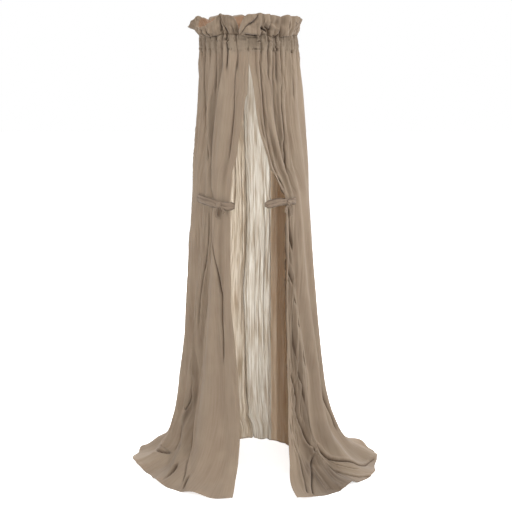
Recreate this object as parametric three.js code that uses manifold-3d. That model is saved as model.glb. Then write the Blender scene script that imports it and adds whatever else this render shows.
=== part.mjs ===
// Bed crown canopy: a gathered veil on a hidden hoop, with two front curtains held aside by ties.
// Millimetres, +Z up, and the front faces -Y. The origin is the end face of the plug that carries it.
import * as THREE from 'three';
import * as BufferGeometryUtils from 'three/addons/utils/BufferGeometryUtils.js';
import Module from 'manifold-3d';

const wasm = await Module();
wasm.setup();

// Shared sizes
const seatGap = 0.35; // gap kept between two pieces that touch
const cutOverrun = 1; // how far a cutter runs past the face that it cuts
const clothThickness = 1;
const degree = Math.PI / 180;

// Hoop: one length of round steel wire, with both ends turned back into the holder
const hoopRadius = 155;
const wireRadius = 3;
const wireSides = 8;
const hoopArcSteps = 72;
const legHalfSpacing = 12;
const legBendRadius = 9;
const legBendSteps = 3;
const legEnd = 40; // how far the legs reach past the hoop's centre line
const legClearance = 0.35;

// Holder: a moulded block with a plug that drops into the top of a tube
const holderWidth = 46;
const holderHeight = 27;
const holderDepth = 28;
const holderCorner = 5;
const holderEdge = 1.5;
const holderFront = 20; // from the hoop's centre line to the block's front face
const holderRoof = 4; // plastic above the wire
const plugRadius = 9;
const plugLength = 36;
const plugSides = 32;
const screwRadius = 2.5;
const screwClearance = 0.3;
const screwLength = 7;
const screwSides = 20;
const socketRadius = 1.45;
const socketDepth = 3;
const socketSides = 6;

// Casing: the tunnel that the hoop runs in
const casingTop = 1475; // above the floor that the veil reaches
const casingHeight = 50;
const gatherEase = 8; // from the hoop's centre line out to the middle of the gathers
const facingFlare = 2.5; // from the hoop's centre line out to the stitch lines
const gatherDepth = 3.2;
const gatherCount = 28;
const casingColumns = 84;
const casingOpening = 8; // half of the gap at the back, in degrees
const casingRowShares = [0, 0.55, 1];
const gatherRowShares = [0.5, 1, 0]; // depth of the gathers in each row
const facingRowShares = [0, 0.3, 0.82, 1];
const hoopDrop = 10.4; // from the casing's top edge down to the wire's centre
const facingColumns = 48;

// Frill: the upstanding header above the casing, in a front and a back half
const frillHeight = 75;
const frillDip = 13; // how far the lowest part of its top edge lies under the highest
const frillSwell = 26.5; // how far it swells out from its base
const frillReturn = 11; // how far its top edge comes back in
const frillLobeDepth = 12.5;
const frillColumns = 54;
const frillHalf = 90; // where each half ends, in degrees from its middle
const frontFrillValleys = [-77, -53, -31, -12, 21, 34, 56, 77]; // in degrees from the front, to the right
const backFrillValleys = [-78, -58, -35, -13, 10, 34, 57, 77]; // in degrees from the back, to the left
const frillPeakShares = [0.9, 1, 0.86, 0.35, 0.95, 0.8, 0.85, 1, 0.75]; // how high each lobe's edge stands
const frillRowShares = [0, 0.16, 0.42, 0.72, 1];
const frillBellyShares = [[0, 0], [0.16, 0.28], [0.42, 0.84], [0.72, 1], [1, 1]];
const frillLobeShares = [[0, 0], [0.16, 0.3], [0.42, 0.85], [0.72, 1], [1, 0.65]];
const frillLipShares = [[0, 0], [0.42, 0], [0.72, 0.15], [1, 1]];

// Front curtains: each hangs from the casing and runs out into a train on the floor
const curtainTaper = 38; // how much wider the straight part is at the floor than at the top
const trainReach = 410; // radius of a full train on the floor
const trainSpring = 23; // how late and how fast the train runs out
const topFold = 2.2;
const tieFold = 3.2;
const lowFold = 9;
const hemFold = 13;
const hemLift = 12;
const lowFoldShare = 0.75;
const curtainRear = 150; // rear edge, in degrees from the front
const curtainColumns = 42;
const curtainColumnCrowding = 1.3; // closer columns towards the front edge
const tieHoldShare = 0.025; // half of the stretch of the drop in which the tie keeps the folds shallow

// Free edge of each curtain: [share of the drop, degrees from the front]
const leftEdgeShares = [[0, 0.2], [0.05, 1], [0.18, 9], [0.27, 17], [0.35, 19], [0.57, 17], [0.72, 10], [0.9, 6.5],
  [1, 7]];
const rightEdgeShares = [[0, 0.2], [0.08, 3], [0.2, 12], [0.27, 23], [0.34, 41], [0.57, 37], [0.75, 34], [0.9, 28],
  [1, 22]];

// Valleys of the main folds, in degrees from the front: [at the top, at the tie, low down, at the hem]
const leftValleys = [[14, 28, 25, 24], [31, 43, 47, 50], [53, 60, 68, 74], [76, 80, 88, 94], [98, 102, 108, 112],
  [122, 125, 128, 131]];
const rightValleys = [[13, 48, 43, 41], [28, 57, 63, 60], [45, 68, 78, 79], [68, 82, 94, 97], [93, 101, 110, 113],
  [120, 124, 128, 131]];

// Reach of the train round each curtain: [degrees from the front, share of the full train]
const leftTrainShares = [[7, 0.985], [26, 0.945], [49, 0.925], [70, 0.955], [90, 0.995], [118, 0.8], [150, 0.52]];
const rightTrainShares = [[22, 1.035], [34, 1.09], [48, 1.06], [62, 1.125], [88, 1.11], [118, 0.86], [150, 0.52]];

// Back panel: two loom widths that meet in a seam at the centre back
const backTaper = 14;
const backTopFold = 1.2;
const backHemFold = 7;
const backFrontEdge = 100; // in degrees from the front
const backCentre = 180;
const backColumns = 22;
const backRowShares = [0, 0.06, 0.3, 0.55, 0.8, 1];
const backValleys = [[108, 107, 108, 108], [122, 121, 123, 124], [136, 137, 138, 138], [150, 149, 151, 152],
  [163, 164, 165, 165]];

// Ties: a flat band round each curtain's front part, with a knot and two short tails
const tieHeight = 930; // above the floor
const tieWidth = 22;
const tieThickness = 1.6;
const tieColumns = 40;
const tieTurnSteps = 8;
const leftTie = { rear: 70, turn: 17, knot: 31, slant: 16 };
const rightTie = { rear: 62, turn: 19, knot: 43, slant: 6 };
const tieEase = 0.9; // clearance between the band and the folds that it holds
const knotRadius = 9.5;
const knotDepth = 13;
const knotSides = 16;
const knotRings = 10;
const tailWidth = 9;
const tailNeckShare = 0.6; // width at the knot
const tailThickness = 1.6;
const tailSpacing = 2.6; // between the two tails' planes
const tailRows = 6;
const tailCurl = 5;
const leftTails = [{ length: 34, lean: 12 }, { length: 24, lean: -38 }];
const rightTails = [{ length: 36, lean: 16 }, { length: 26, lean: -26 }];

// Heights above the floor and radii, worked out from the sizes above
const casingBottom = casingTop - casingHeight;
const curtainTop = casingBottom - seatGap;
const facingRadius = hoopRadius - wireRadius - seatGap - clothThickness / 2;
const stitchRadius = hoopRadius + facingFlare;
const casingRadius = hoopRadius + gatherEase;
const curtainTopRadius = casingRadius + clothThickness / 2;
const backTopRadius = stitchRadius;
const frillBaseRadius = stitchRadius;
const hoopHeight = casingTop - hoopDrop;
const holderTop = hoopHeight + wireRadius + holderRoof;
const plugEnd = holderTop - holderHeight - plugLength;
const holderMiddle = hoopRadius + holderFront + holderDepth / 2;
const tieDropShare = (curtainTop - tieHeight) / curtainTop;
const curtainRowShares = [0, 0.035, 0.13, 0.23, tieDropShare - tieHoldShare, tieDropShare + tieHoldShare, 0.5, 0.7,
  0.86, 0.94, 0.975, 1];

// Smooth line through hand-chosen points [place, value]
function along(points, place) {
  const last = points.length - 1;
  if (place <= points[0][0]) return points[0][1];
  if (place >= points[last][0]) return points[last][1];
  let i = 0;
  while (place > points[i + 1][0]) i += 1;
  const [x0, y0] = points[i];
  const [x1, y1] = points[i + 1];
  const [xa, ya] = points[Math.max(i - 1, 0)];
  const [xb, yb] = points[Math.min(i + 2, last)];
  const span = x1 - x0;
  const slope0 = (y1 - ya) / (x1 - xa) * span;
  const slope1 = (yb - y0) / (xb - x0) * span;
  const t = (place - x0) / span;
  const t2 = t * t;
  const t3 = t2 * t;
  return (2 * t3 - 3 * t2 + 1) * y0 + (t3 - 2 * t2 + t) * slope0 + (3 * t2 - 2 * t3) * y1 + (t3 - t2) * slope1;
}

// Phase of a wave, in whole waves, from places given as [edge, valley, valley, ..., edge]
function wavePhase(stations, place) {
  const last = stations.length - 1;
  const phaseAt = (i) => (i === 0 ? 0 : Math.min(i - 0.5, last - 1));
  let i = 0;
  while (i < last - 1 && place > stations[i + 1]) i += 1;
  return phaseAt(i) + (phaseAt(i + 1) - phaseAt(i)) * (place - stations[i]) / (stations[i + 1] - stations[i]);
}

// Point at an angle from the front; side is 1 for the right and -1 for the left
function polar(side, angle, radius, height) {
  return new THREE.Vector3(side * Math.sin(angle * degree) * radius, -Math.cos(angle * degree) * radius, height);
}

// Turns every face outwards if the solid came out inside out
function faceOutwards(geometry) {
  const place = geometry.attributes.position;
  const index = geometry.index.array;
  const a = new THREE.Vector3();
  const b = new THREE.Vector3();
  const c = new THREE.Vector3();
  let volume = 0;
  for (let i = 0; i < index.length; i += 3) {
    a.fromBufferAttribute(place, index[i]);
    b.fromBufferAttribute(place, index[i + 1]);
    c.fromBufferAttribute(place, index[i + 2]);
    volume += a.dot(b.cross(c));
  }
  if (volume < 0) {
    for (let i = 0; i < index.length; i += 3) [index[i], index[i + 1]] = [index[i + 1], index[i]];
  }
  geometry.computeVertexNormals();
  return geometry;
}

// Closed sheet of one thickness over a grid of points, pointAt(column, row)
function sheetSolid(pointAt, columns, rows, thickness) {
  const grid = [];
  for (let row = 0; row <= rows; row += 1) {
    for (let column = 0; column <= columns; column += 1) grid.push(pointAt(column, row));
  }
  const at = (column, row) => row * (columns + 1) + column;
  const layer = (columns + 1) * (rows + 1);
  const places = new Float32Array(layer * 2 * 3);
  for (let row = 0; row <= rows; row += 1) {
    for (let column = 0; column <= columns; column += 1) {
      const acrossTo = grid[at(Math.min(column + 1, columns), row)];
      const acrossFrom = grid[at(Math.max(column - 1, 0), row)];
      const downTo = grid[at(column, Math.min(row + 1, rows))];
      const downFrom = grid[at(column, Math.max(row - 1, 0))];
      const across = acrossTo.clone().sub(acrossFrom).normalize();
      const down = downTo.clone().sub(downFrom).normalize();
      const normal = across.cross(down).normalize().multiplyScalar(thickness / 2);
      const point = grid[at(column, row)];
      point.clone().add(normal).toArray(places, at(column, row) * 3);
      point.clone().sub(normal).toArray(places, (at(column, row) + layer) * 3);
    }
  }
  const faces = [];
  const quad = (a, b, c, d) => faces.push(a, b, c, a, c, d);
  for (let row = 0; row < rows; row += 1) {
    for (let column = 0; column < columns; column += 1) {
      // Both layers are split along the same diagonal, so that they stay parallel where the cloth twists
      const [a, b, c, d] = [at(column, row), at(column + 1, row), at(column + 1, row + 1), at(column, row + 1)];
      quad(a, b, c, d);
      faces.push(a + layer, c + layer, b + layer, a + layer, d + layer, c + layer);
    }
  }
  for (let column = 0; column < columns; column += 1) {
    quad(at(column + 1, 0), at(column, 0), at(column, 0) + layer, at(column + 1, 0) + layer);
    quad(at(column, rows), at(column + 1, rows), at(column + 1, rows) + layer, at(column, rows) + layer);
  }
  for (let row = 0; row < rows; row += 1) {
    quad(at(0, row), at(0, row + 1), at(0, row + 1) + layer, at(0, row) + layer);
    quad(at(columns, row + 1), at(columns, row), at(columns, row) + layer, at(columns, row + 1) + layer);
  }
  const geometry = new THREE.BufferGeometry();
  geometry.setAttribute('position', new THREE.BufferAttribute(places, 3));
  geometry.setIndex(faces);
  return faceOutwards(geometry);
}

// Booleans
function toSolid(geometry) {
  const bare = geometry.clone();
  bare.deleteAttribute('normal');
  bare.deleteAttribute('uv');
  const merged = BufferGeometryUtils.mergeVertices(bare);
  const vertProperties = new Float32Array(merged.attributes.position.array);
  const triVerts = new Uint32Array(merged.index.array);
  return new wasm.Manifold(new wasm.Mesh({ numProp: 3, vertProperties, triVerts }));
}

function toGeometry(solid) {
  const mesh = solid.getMesh();
  const geometry = new THREE.BufferGeometry();
  geometry.setAttribute('position', new THREE.BufferAttribute(new Float32Array(mesh.vertProperties), 3));
  geometry.setIndex(Array.from(mesh.triVerts));
  geometry.computeVertexNormals();
  return geometry;
}

// Cylinder along X, Y or Z between two places on that axis
function rod(axis, radius, from, to, sides, [across, up]) {
  const geometry = new THREE.CylinderGeometry(radius, radius, to - from, sides);
  const middle = (from + to) / 2;
  if (axis === 'x') geometry.rotateZ(Math.PI / 2).translate(middle, across, up);
  if (axis === 'y') geometry.translate(across, middle, up);
  if (axis === 'z') geometry.rotateX(Math.PI / 2).translate(across, up, middle);
  return geometry;
}

// Materials
function material(color, roughness, metalness = 0) {
  return new THREE.MeshStandardMaterial({ color, roughness, metalness, side: THREE.DoubleSide });
}
const muslin = material(0x9b8978, 0.95);
const backMuslin = material(0xcdbfa9, 0.95);
const tieMuslin = material(0x8f7c6b, 0.95);
const steel = material(0xb9bbbd, 0.35, 1);
const plastic = material(0xe9e6e0, 0.5);

const canopy = new THREE.Group();
const veil = new THREE.Group();
veil.position.set(0, -holderMiddle, -plugEnd);
canopy.add(veil);

function addPiece(name, geometry, finish) {
  const mesh = new THREE.Mesh(geometry, finish);
  mesh.name = name;
  veil.add(mesh);
  return mesh;
}

// Hoop: leg, bend, long arc, bend, leg, all in one level plane
class HoopCurve extends THREE.Curve {
  constructor() {
    super();
    this.steps = hoopArcSteps + 2 * legBendSteps + 2;
    this.bendX = legHalfSpacing + legBendRadius;
    // A bend's centre lies outside the hoop, one bend radius from its centre line
    this.bendY = Math.sqrt((hoopRadius + legBendRadius) ** 2 - this.bendX ** 2);
    this.startAngle = Math.atan2(this.bendX, this.bendY);
  }

  // Sections are shared out by step, not by length, so that the bends stay round
  getUtoTmapping(u) {
    return u;
  }

  getPoint(t, target = new THREE.Vector3()) {
    const step = t * this.steps;
    const mirrored = step > this.steps / 2;
    const s = mirrored ? this.steps - step : step;
    let x;
    let y;
    if (s <= 1) {
      x = legHalfSpacing;
      y = hoopRadius + legEnd + (this.bendY - hoopRadius - legEnd) * s;
    } else if (s <= 1 + legBendSteps) {
      const turn = (Math.PI / 2 - this.startAngle) * (s - 1) / legBendSteps;
      x = this.bendX - legBendRadius * Math.cos(turn);
      y = this.bendY - legBendRadius * Math.sin(turn);
    } else {
      const share = (s - 1 - legBendSteps) / (this.steps / 2 - 1 - legBendSteps);
      const angle = this.startAngle + (Math.PI - this.startAngle) * share;
      x = hoopRadius * Math.sin(angle);
      y = hoopRadius * Math.cos(angle);
    }
    return target.set(mirrored ? -x : x, y, hoopHeight);
  }
}

function hoop() {
  const section = new THREE.Shape();
  for (let i = 0; i < wireSides; i += 1) {
    const turn = (i + 0.5) / wireSides * 2 * Math.PI;
    const place = [wireRadius * Math.cos(turn), wireRadius * Math.sin(turn)];
    if (i === 0) section.moveTo(...place);
    else section.lineTo(...place);
  }
  const path = new HoopCurve();
  const swept = new THREE.ExtrudeGeometry(section, { steps: path.steps, extrudePath: path });
  swept.deleteAttribute('normal');
  swept.deleteAttribute('uv');
  addPiece('hoop', faceOutwards(BufferGeometryUtils.mergeVertices(swept)), steel);
}

// Holder, with two blind bores for the wire's legs and a threaded hole from each side
function holder() {
  const half = holderWidth / 2 - holderEdge;
  const tall = holderHeight / 2 - holderEdge;
  const corner = holderCorner - holderEdge;
  const face = new THREE.Shape();
  face.absarc(half - corner, tall - corner, corner, 0, Math.PI / 2);
  face.absarc(corner - half, tall - corner, corner, Math.PI / 2, Math.PI);
  face.absarc(corner - half, corner - tall, corner, Math.PI, Math.PI * 3 / 2);
  face.absarc(half - corner, corner - tall, corner, Math.PI * 3 / 2, Math.PI * 2);
  const bevel = { bevelThickness: holderEdge, bevelSize: holderEdge, bevelSegments: 2, curveSegments: 4 };
  const block = new THREE.ExtrudeGeometry(face, { depth: holderDepth - 2 * holderEdge, ...bevel });
  block.rotateX(Math.PI / 2);
  block.translate(0, holderMiddle + holderDepth / 2 - holderEdge, holderTop - holderHeight / 2);
  const bottom = holderTop - holderHeight;
  const plug = rod('z', plugRadius, plugEnd, bottom + holderEdge * 2, plugSides, [0, holderMiddle]);
  let solid = toSolid(block).add(toSolid(plug));
  const boreEnd = hoopRadius + legEnd + seatGap;
  const boreRadius = wireRadius + legClearance;
  const front = holderMiddle - holderDepth / 2 - cutOverrun;
  const screwY = holderMiddle;
  for (const side of [-1, 1]) {
    const x = side * legHalfSpacing;
    const bore = rod('y', boreRadius, front, boreEnd, screwSides, [x, hoopHeight]);
    const outer = side * (holderWidth / 2 + cutOverrun);
    const [from, to] = side < 0 ? [outer, x] : [x, outer];
    const thread = rod('x', screwRadius + screwClearance, from, to, screwSides, [screwY, hoopHeight]);
    solid = solid.subtract(toSolid(bore)).subtract(toSolid(thread));
    // Grub screw: its tip seats on the wire's leg
    const tip = legHalfSpacing + wireRadius + seatGap;
    const head = tip + screwLength;
    const [low, high] = side < 0 ? [-head, -tip] : [tip, head];
    const [mouthLow, mouthHigh] = side < 0 ? [-head - cutOverrun, -head + socketDepth]
      : [head - socketDepth, head + cutOverrun];
    const shank = toSolid(rod('x', screwRadius, low, high, screwSides, [screwY, hoopHeight]));
    const socket = toSolid(rod('x', socketRadius, mouthLow, mouthHigh, socketSides, [screwY, hoopHeight]));
    addPiece(side < 0 ? 'grub_screw_left' : 'grub_screw_right', toGeometry(shank.subtract(socket)), steel);
  }
  addPiece('hoop_holder', toGeometry(solid), plastic);
}

// Casing: a gathered outer band and a plain facing, stitched together above and below the hoop
function casingAngle(column, columns) {
  const span = 2 * (backCentre - casingOpening);
  return -span / 2 + span * column / columns;
}

function casing() {
  const topRadius = stitchRadius + clothThickness + seatGap;
  const middles = [casingRadius - topFold, casingRadius, topRadius];
  addPiece('casing_outer', sheetSolid((column, row) => {
    const angle = casingAngle(column, casingColumns);
    const gather = Math.cos(2 * Math.PI * gatherCount * column / casingColumns);
    const radius = middles[row] + gatherDepth * gatherRowShares[row] * gather;
    return polar(1, angle, radius, casingBottom + casingHeight * casingRowShares[row]);
  }, casingColumns, casingRowShares.length - 1, clothThickness), muslin);
  const facingRadii = [stitchRadius, facingRadius, facingRadius, stitchRadius];
  addPiece('casing_facing', sheetSolid((column, row) => {
    const height = casingBottom + casingHeight * facingRowShares[row];
    return polar(1, casingAngle(column, facingColumns), facingRadii[row], height);
  }, facingColumns, facingRowShares.length - 1, clothThickness), muslin);
}

// Frill: lobes that swell outwards above the casing; facing is 0 for the front half and 180 for the back
function frill(name, facing, valleys) {
  const base = casingTop + seatGap;
  const end = frillHalf - seatGap / frillBaseRadius / degree;
  addPiece(name, sheetSolid((column, row) => {
    const share = frillRowShares[row];
    const angle = -end + 2 * end * column / frillColumns;
    const phase = wavePhase([-end, ...valleys, end], angle);
    const lobe = Math.cos(2 * Math.PI * phase);
    const swell = frillSwell * along(frillBellyShares, share) - frillReturn * along(frillLipShares, share);
    const radius = frillBaseRadius + swell + frillLobeDepth * along(frillLobeShares, share) * lobe;
    const peak = along(frillPeakShares.map((height, i) => [i, height]), phase);
    const dip = frillDip * share * share * (1 - peak);
    return polar(1, facing + angle, radius, base + frillHeight * share - dip);
  }, frillColumns, frillRowShares.length - 1, clothThickness), muslin);
}

// Fold wave: 1 on a crest, -1 in a valley; both edges of the cloth are crests
function foldWave(angle, frontEdge, rearEdge, valleys, dropShare) {
  const valleysHere = valleys.map((valley) => along([[0, valley[0]], [tieDropShare, valley[1]],
    [lowFoldShare, valley[2]], [1, valley[3]]], dropShare));
  return Math.cos(2 * Math.PI * wavePhase([frontEdge, ...valleysHere, rearEdge], angle));
}

// Share of the train's run-out that is reached at a share of the drop
function runOut(dropShare) {
  const start = 1 / (1 + trainSpring);
  return (1 / (1 + trainSpring * (1 - dropShare)) - start) / (1 - start);
}

function curtainRadius(dropShare, angle, trainShares) {
  const straight = curtainTopRadius + curtainTaper * dropShare;
  const floorRadius = curtainTopRadius + curtainTaper;
  return straight + (trainReach * along(trainShares, angle) - floorRadius) * runOut(dropShare);
}

function foldDepth(dropShare) {
  return along([[0, topFold], [tieDropShare - tieHoldShare, tieFold], [tieDropShare + tieHoldShare, tieFold],
    [lowFoldShare, lowFold], [1, hemFold]], dropShare);
}

function curtain(name, side, edgeShares, valleys, trainShares) {
  const topGap = seatGap / curtainTopRadius / degree;
  addPiece(name, sheetSolid((column, row) => {
    const share = curtainRowShares[row];
    const edge = Math.max(along(edgeShares, share), topGap);
    const across = (column / curtainColumns) ** curtainColumnCrowding;
    const angle = edge + (curtainRear - edge) * across;
    const wave = foldWave(angle, edge, curtainRear, valleys, share);
    const radius = curtainRadius(share, angle, trainShares) + foldDepth(share) * wave;
    const lift = hemLift * runOut(share) * (1 + wave) / 2;
    return polar(side, angle, radius, clothThickness + (curtainTop - clothThickness * 1.5) * (1 - share) + lift);
  }, curtainColumns, curtainRowShares.length - 1, clothThickness), muslin);
}

function backPanel(name, side) {
  const seam = seatGap / backTopRadius / degree;
  addPiece(name, sheetSolid((column, row) => {
    const share = backRowShares[row];
    const angle = backFrontEdge + (backCentre - seam - backFrontEdge) * column / backColumns;
    const wave = foldWave(angle, backFrontEdge, backCentre, backValleys, share);
    const fold = backTopFold + (backHemFold - backTopFold) * share;
    const height = clothThickness / 2 + (curtainTop - clothThickness / 2) * (1 - share);
    return polar(side, angle, backTopRadius + backTaper * share + fold * wave, height);
  }, backColumns, backRowShares.length - 1, clothThickness), backMuslin);
}

// Place on a tie: out is the distance from the middle of the curtain's folds
function tiePlace(side, tie, trainShares, angle, out, across) {
  const slantShare = (tie.rear - Math.max(angle, tie.turn)) / (tie.rear - tie.turn);
  const height = tieHeight + tie.slant * (0.5 - slantShare) + across;
  const radius = curtainRadius((curtainTop - height) / curtainTop, angle, trainShares);
  return polar(side, angle, radius + out, height);
}

// Tie band: along the outside of the curtain, round its free edge and back along the inside
function tieBand(name, side, tie, trainShares) {
  const offset = tieFold + tieEase + (clothThickness + tieThickness) / 2;
  const legSteps = (tieColumns - tieTurnSteps) / 2;
  addPiece(name, sheetSolid((column, row) => {
    const across = tieWidth * (0.5 - row);
    const legShare = Math.min(column, tieColumns - column) / legSteps;
    if (legShare <= 1) {
      const angle = tie.rear + (tie.turn - tie.rear) * legShare;
      return tiePlace(side, tie, trainShares, angle, column <= legSteps ? offset : -offset, across);
    }
    const turn = (column - legSteps) / tieTurnSteps * Math.PI;
    const angle = tie.turn - offset * Math.sin(turn) / curtainTopRadius / degree;
    return tiePlace(side, tie, trainShares, angle, offset * Math.cos(turn), across);
  }, tieColumns, 1, tieThickness), tieMuslin);
}

// Knot: a rounded lump that faces straight out from the curtain, with its tails hung under it
function knotAndTails(prefix, side, tie, tails, trainShares) {
  const out = tieFold + tieEase + clothThickness / 2 + tieThickness + seatGap + knotDepth / 2;
  const centre = tiePlace(side, tie, trainShares, tie.knot, out, 0);
  const turn = side * tie.knot * degree;
  const ball = new THREE.SphereGeometry(1, knotSides, knotRings);
  ball.deleteAttribute('normal');
  ball.deleteAttribute('uv');
  ball.scale(knotRadius, knotRadius, knotDepth / 2).rotateX(Math.PI / 2);
  const knot = addPiece(`${prefix}_tie_knot`, faceOutwards(BufferGeometryUtils.mergeVertices(ball)), tieMuslin);
  knot.position.copy(centre);
  knot.rotation.z = turn;
  tails.forEach(({ length, lean }, i) => {
    const tail = sheetSolid((column, row) => {
      const share = row / tailRows;
      const reach = knotRadius + seatGap + length * share;
      const curl = tailCurl * Math.sin(share * Math.PI) * Math.sign(lean);
      const spread = tailNeckShare + (1 - tailNeckShare) * share;
      const across = tailWidth * (column - 0.5) * spread + curl;
      const angle = lean * degree;
      return new THREE.Vector3(
        side * (reach * Math.sin(angle) + across * Math.cos(angle)),
        (0.5 - i) * tailSpacing,
        -reach * Math.cos(angle) + across * Math.sin(angle),
      );
    }, 1, tailRows, tailThickness);
    const mesh = addPiece(`${prefix}_tie_tail_${i === 0 ? 'a' : 'b'}`, tail, tieMuslin);
    mesh.position.copy(centre);
    mesh.rotation.z = turn;
  });
}

hoop();
holder();
casing();
frill('frill_front', 0, frontFrillValleys);
frill('frill_back', backCentre, backFrillValleys);
backPanel('back_panel_left', -1);
backPanel('back_panel_right', 1);
curtain('left_curtain', -1, leftEdgeShares, leftValleys, leftTrainShares);
curtain('right_curtain', 1, rightEdgeShares, rightValleys, rightTrainShares);
tieBand('left_tie_band', -1, leftTie, leftTrainShares);
tieBand('right_tie_band', 1, rightTie, rightTrainShares);
knotAndTails('left', -1, leftTie, leftTails, leftTrainShares);
knotAndTails('right', 1, rightTie, rightTails, rightTrainShares);

export default canopy;
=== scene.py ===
# Bed crown canopy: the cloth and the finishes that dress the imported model.
# Sizes are millimetres above the floor and round the hoop's axis, as in the model, until place() turns
# them into the frame's metres. Angles are degrees from the front.
import math

import bpy
import numpy as np
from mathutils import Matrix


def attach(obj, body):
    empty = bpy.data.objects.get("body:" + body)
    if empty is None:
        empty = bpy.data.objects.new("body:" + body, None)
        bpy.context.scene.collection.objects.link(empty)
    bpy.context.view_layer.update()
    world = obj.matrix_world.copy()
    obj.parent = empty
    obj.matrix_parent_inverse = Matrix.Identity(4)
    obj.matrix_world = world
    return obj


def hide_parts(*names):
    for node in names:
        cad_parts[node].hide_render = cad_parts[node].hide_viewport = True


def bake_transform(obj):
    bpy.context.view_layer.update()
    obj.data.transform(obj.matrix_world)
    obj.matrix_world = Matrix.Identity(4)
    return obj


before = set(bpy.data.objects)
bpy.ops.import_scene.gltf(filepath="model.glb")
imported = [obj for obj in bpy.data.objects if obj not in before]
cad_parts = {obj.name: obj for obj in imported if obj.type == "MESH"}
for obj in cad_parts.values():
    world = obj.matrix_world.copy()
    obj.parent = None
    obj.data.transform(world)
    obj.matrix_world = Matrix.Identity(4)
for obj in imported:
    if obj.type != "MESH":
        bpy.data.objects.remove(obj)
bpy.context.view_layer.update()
print("frame loaded")

# Sizes that all pieces share, the same as the model's
veil = {
    "hoopBack": 189.0,  # from the frame's origin back to the hoop's axis
    "floorDrop": 1408.6,  # from the frame's origin down to the floor
    "casingTop": 1475.0,
    "casingBottom": 1425.0,
    "curtainTop": 1424.65,
    "cloth": 1.0,  # thickness
    "stitchRadius": 157.5,
    "casingRadius": 163.0,
    "curtainTopRadius": 163.5,
    "curtainTaper": 38.0,  # how much wider the drop is at the floor, without its train
    "trainReach": 410.0,  # from the hoop's axis
    "trainSpring": 23.0,  # the larger, the lower the drop turns out into its train
    "tieHeight": 930.0,
}
veil["tieShare"] = (veil["curtainTop"] - veil["tieHeight"]) / veil["curtainTop"]

cameraValues = {
    "place": (0.0234, -4.189, 0.0664),  # level with the crown
    "tiltDown": 10.64,
    "lens": 82.5,
}


def makeCamera(values):
    camera = bpy.data.objects.new("camera", bpy.data.cameras.new("camera"))
    bpy.context.scene.collection.objects.link(camera)
    camera.location = values["place"]
    camera.rotation_euler = (math.radians(90 - values["tiltDown"]), 0, 0)
    camera.data.lens = values["lens"]
    camera.data.sensor_width = 36
    camera.data.clip_end = 60
    bpy.context.scene.camera = camera


makeCamera(cameraValues)


# Shapes

# Smooth line through given points (place, value).
def along(points, place):
    xs, ys = np.array(points, float).T
    last = len(xs) - 1
    place = np.clip(place, xs[0], xs[-1])
    i = np.clip(np.searchsorted(xs, place, side="right") - 1, 0, last - 1)
    before = np.maximum(i - 1, 0)
    after = np.minimum(i + 2, last)
    span = xs[i + 1] - xs[i]
    slope0 = (ys[i + 1] - ys[before]) / (xs[i + 1] - xs[before]) * span
    slope1 = (ys[after] - ys[i]) / (xs[after] - xs[i]) * span
    t = (place - xs[i]) / span
    return (
        (2 * t**3 - 3 * t**2 + 1) * ys[i]
        + (t**3 - 2 * t**2 + t) * slope0
        + (3 * t**2 - 2 * t**3) * ys[i + 1]
        + (t**3 - t**2) * slope1
    )


def ease(low, high, value):
    t = np.clip((value - low) / (high - low), 0, 1)
    return t * t * (3 - 2 * t)


def bell(value, width):
    return np.exp(-((value / width) ** 2))


# Smooth noise from -1 to 1 with one hill or hollow to a unit.
def softNoise(u, v, seed):
    table = np.random.default_rng(seed).uniform(-1, 1, (128, 128))
    u, v = np.broadcast_arrays(u, v)
    ui, vi = np.floor(u).astype(int), np.floor(v).astype(int)
    ut, vt = u - ui, v - vi
    ut, vt = ut * ut * (3 - 2 * ut), vt * vt * (3 - 2 * vt)
    a, b, c, d = ui % 128, (ui + 1) % 128, vi % 128, (vi + 1) % 128
    low = table[a, c] * (1 - ut) + table[b, c] * ut
    high = table[a, d] * (1 - ut) + table[b, d] * ut
    return low * (1 - vt) + high * vt


# Upright crinkle of muslin. Each layer is (width, length, depth) in millimetres.
def crinkle(across, down, layers, seed):
    total = np.zeros(np.broadcast_shapes(np.shape(across), np.shape(down)))
    for i, (width, length, depth) in enumerate(layers):
        drift = softNoise(across / (5 * width), down / (0.6 * length), seed + 31 * i + 7) * 0.9
        wave = softNoise(across / width + drift, down / length, seed + 31 * i)
        total = total + depth * (0.55 - 1.6 * np.abs(wave) ** 0.8)
    return total


# Phase in whole waves, from places given as edge, valley, valley, ..., edge.
def wavePhase(stations, place):
    count = len(stations) - 2
    phases = [0] + [i + 0.5 for i in range(count)] + [count]
    return np.interp(place, stations, phases)


def runOut(share):
    start = 1 / (1 + veil["trainSpring"])
    return (1 / (1 + veil["trainSpring"] * (1 - share)) - start) / (1 - start)


def curtainRadius(share, angle, trainShares):
    straight = veil["curtainTopRadius"] + veil["curtainTaper"] * share
    floorRadius = veil["curtainTopRadius"] + veil["curtainTaper"]
    reach = veil["trainReach"] * along(trainShares, angle)
    return straight + (reach - floorRadius) * runOut(share)


def polar(side, angle, radius, height):
    turn = np.radians(angle)
    points = (side * np.sin(turn) * radius, -np.cos(turn) * radius, height)
    return np.stack(np.broadcast_arrays(*points), axis=-1)


# From millimetres round the hoop's axis and above the floor to the frame's metres.
def place(points):
    return (np.asarray(points) + (0, -veil["hoopBack"], -veil["floorDrop"])) / 1000


# Column angles between two edges, closer together where creases are.
def packedColumns(low, high, count, centres):
    fine = np.linspace(low, high, 900)
    weight = np.ones_like(fine)
    for centre, width, gain in centres:
        weight += gain * bell(fine - centre, width)
    total = np.concatenate([[0], np.cumsum((weight[1:] + weight[:-1]) / 2)])
    return np.interp(np.linspace(0, total[-1], count + 1), total, fine)
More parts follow.
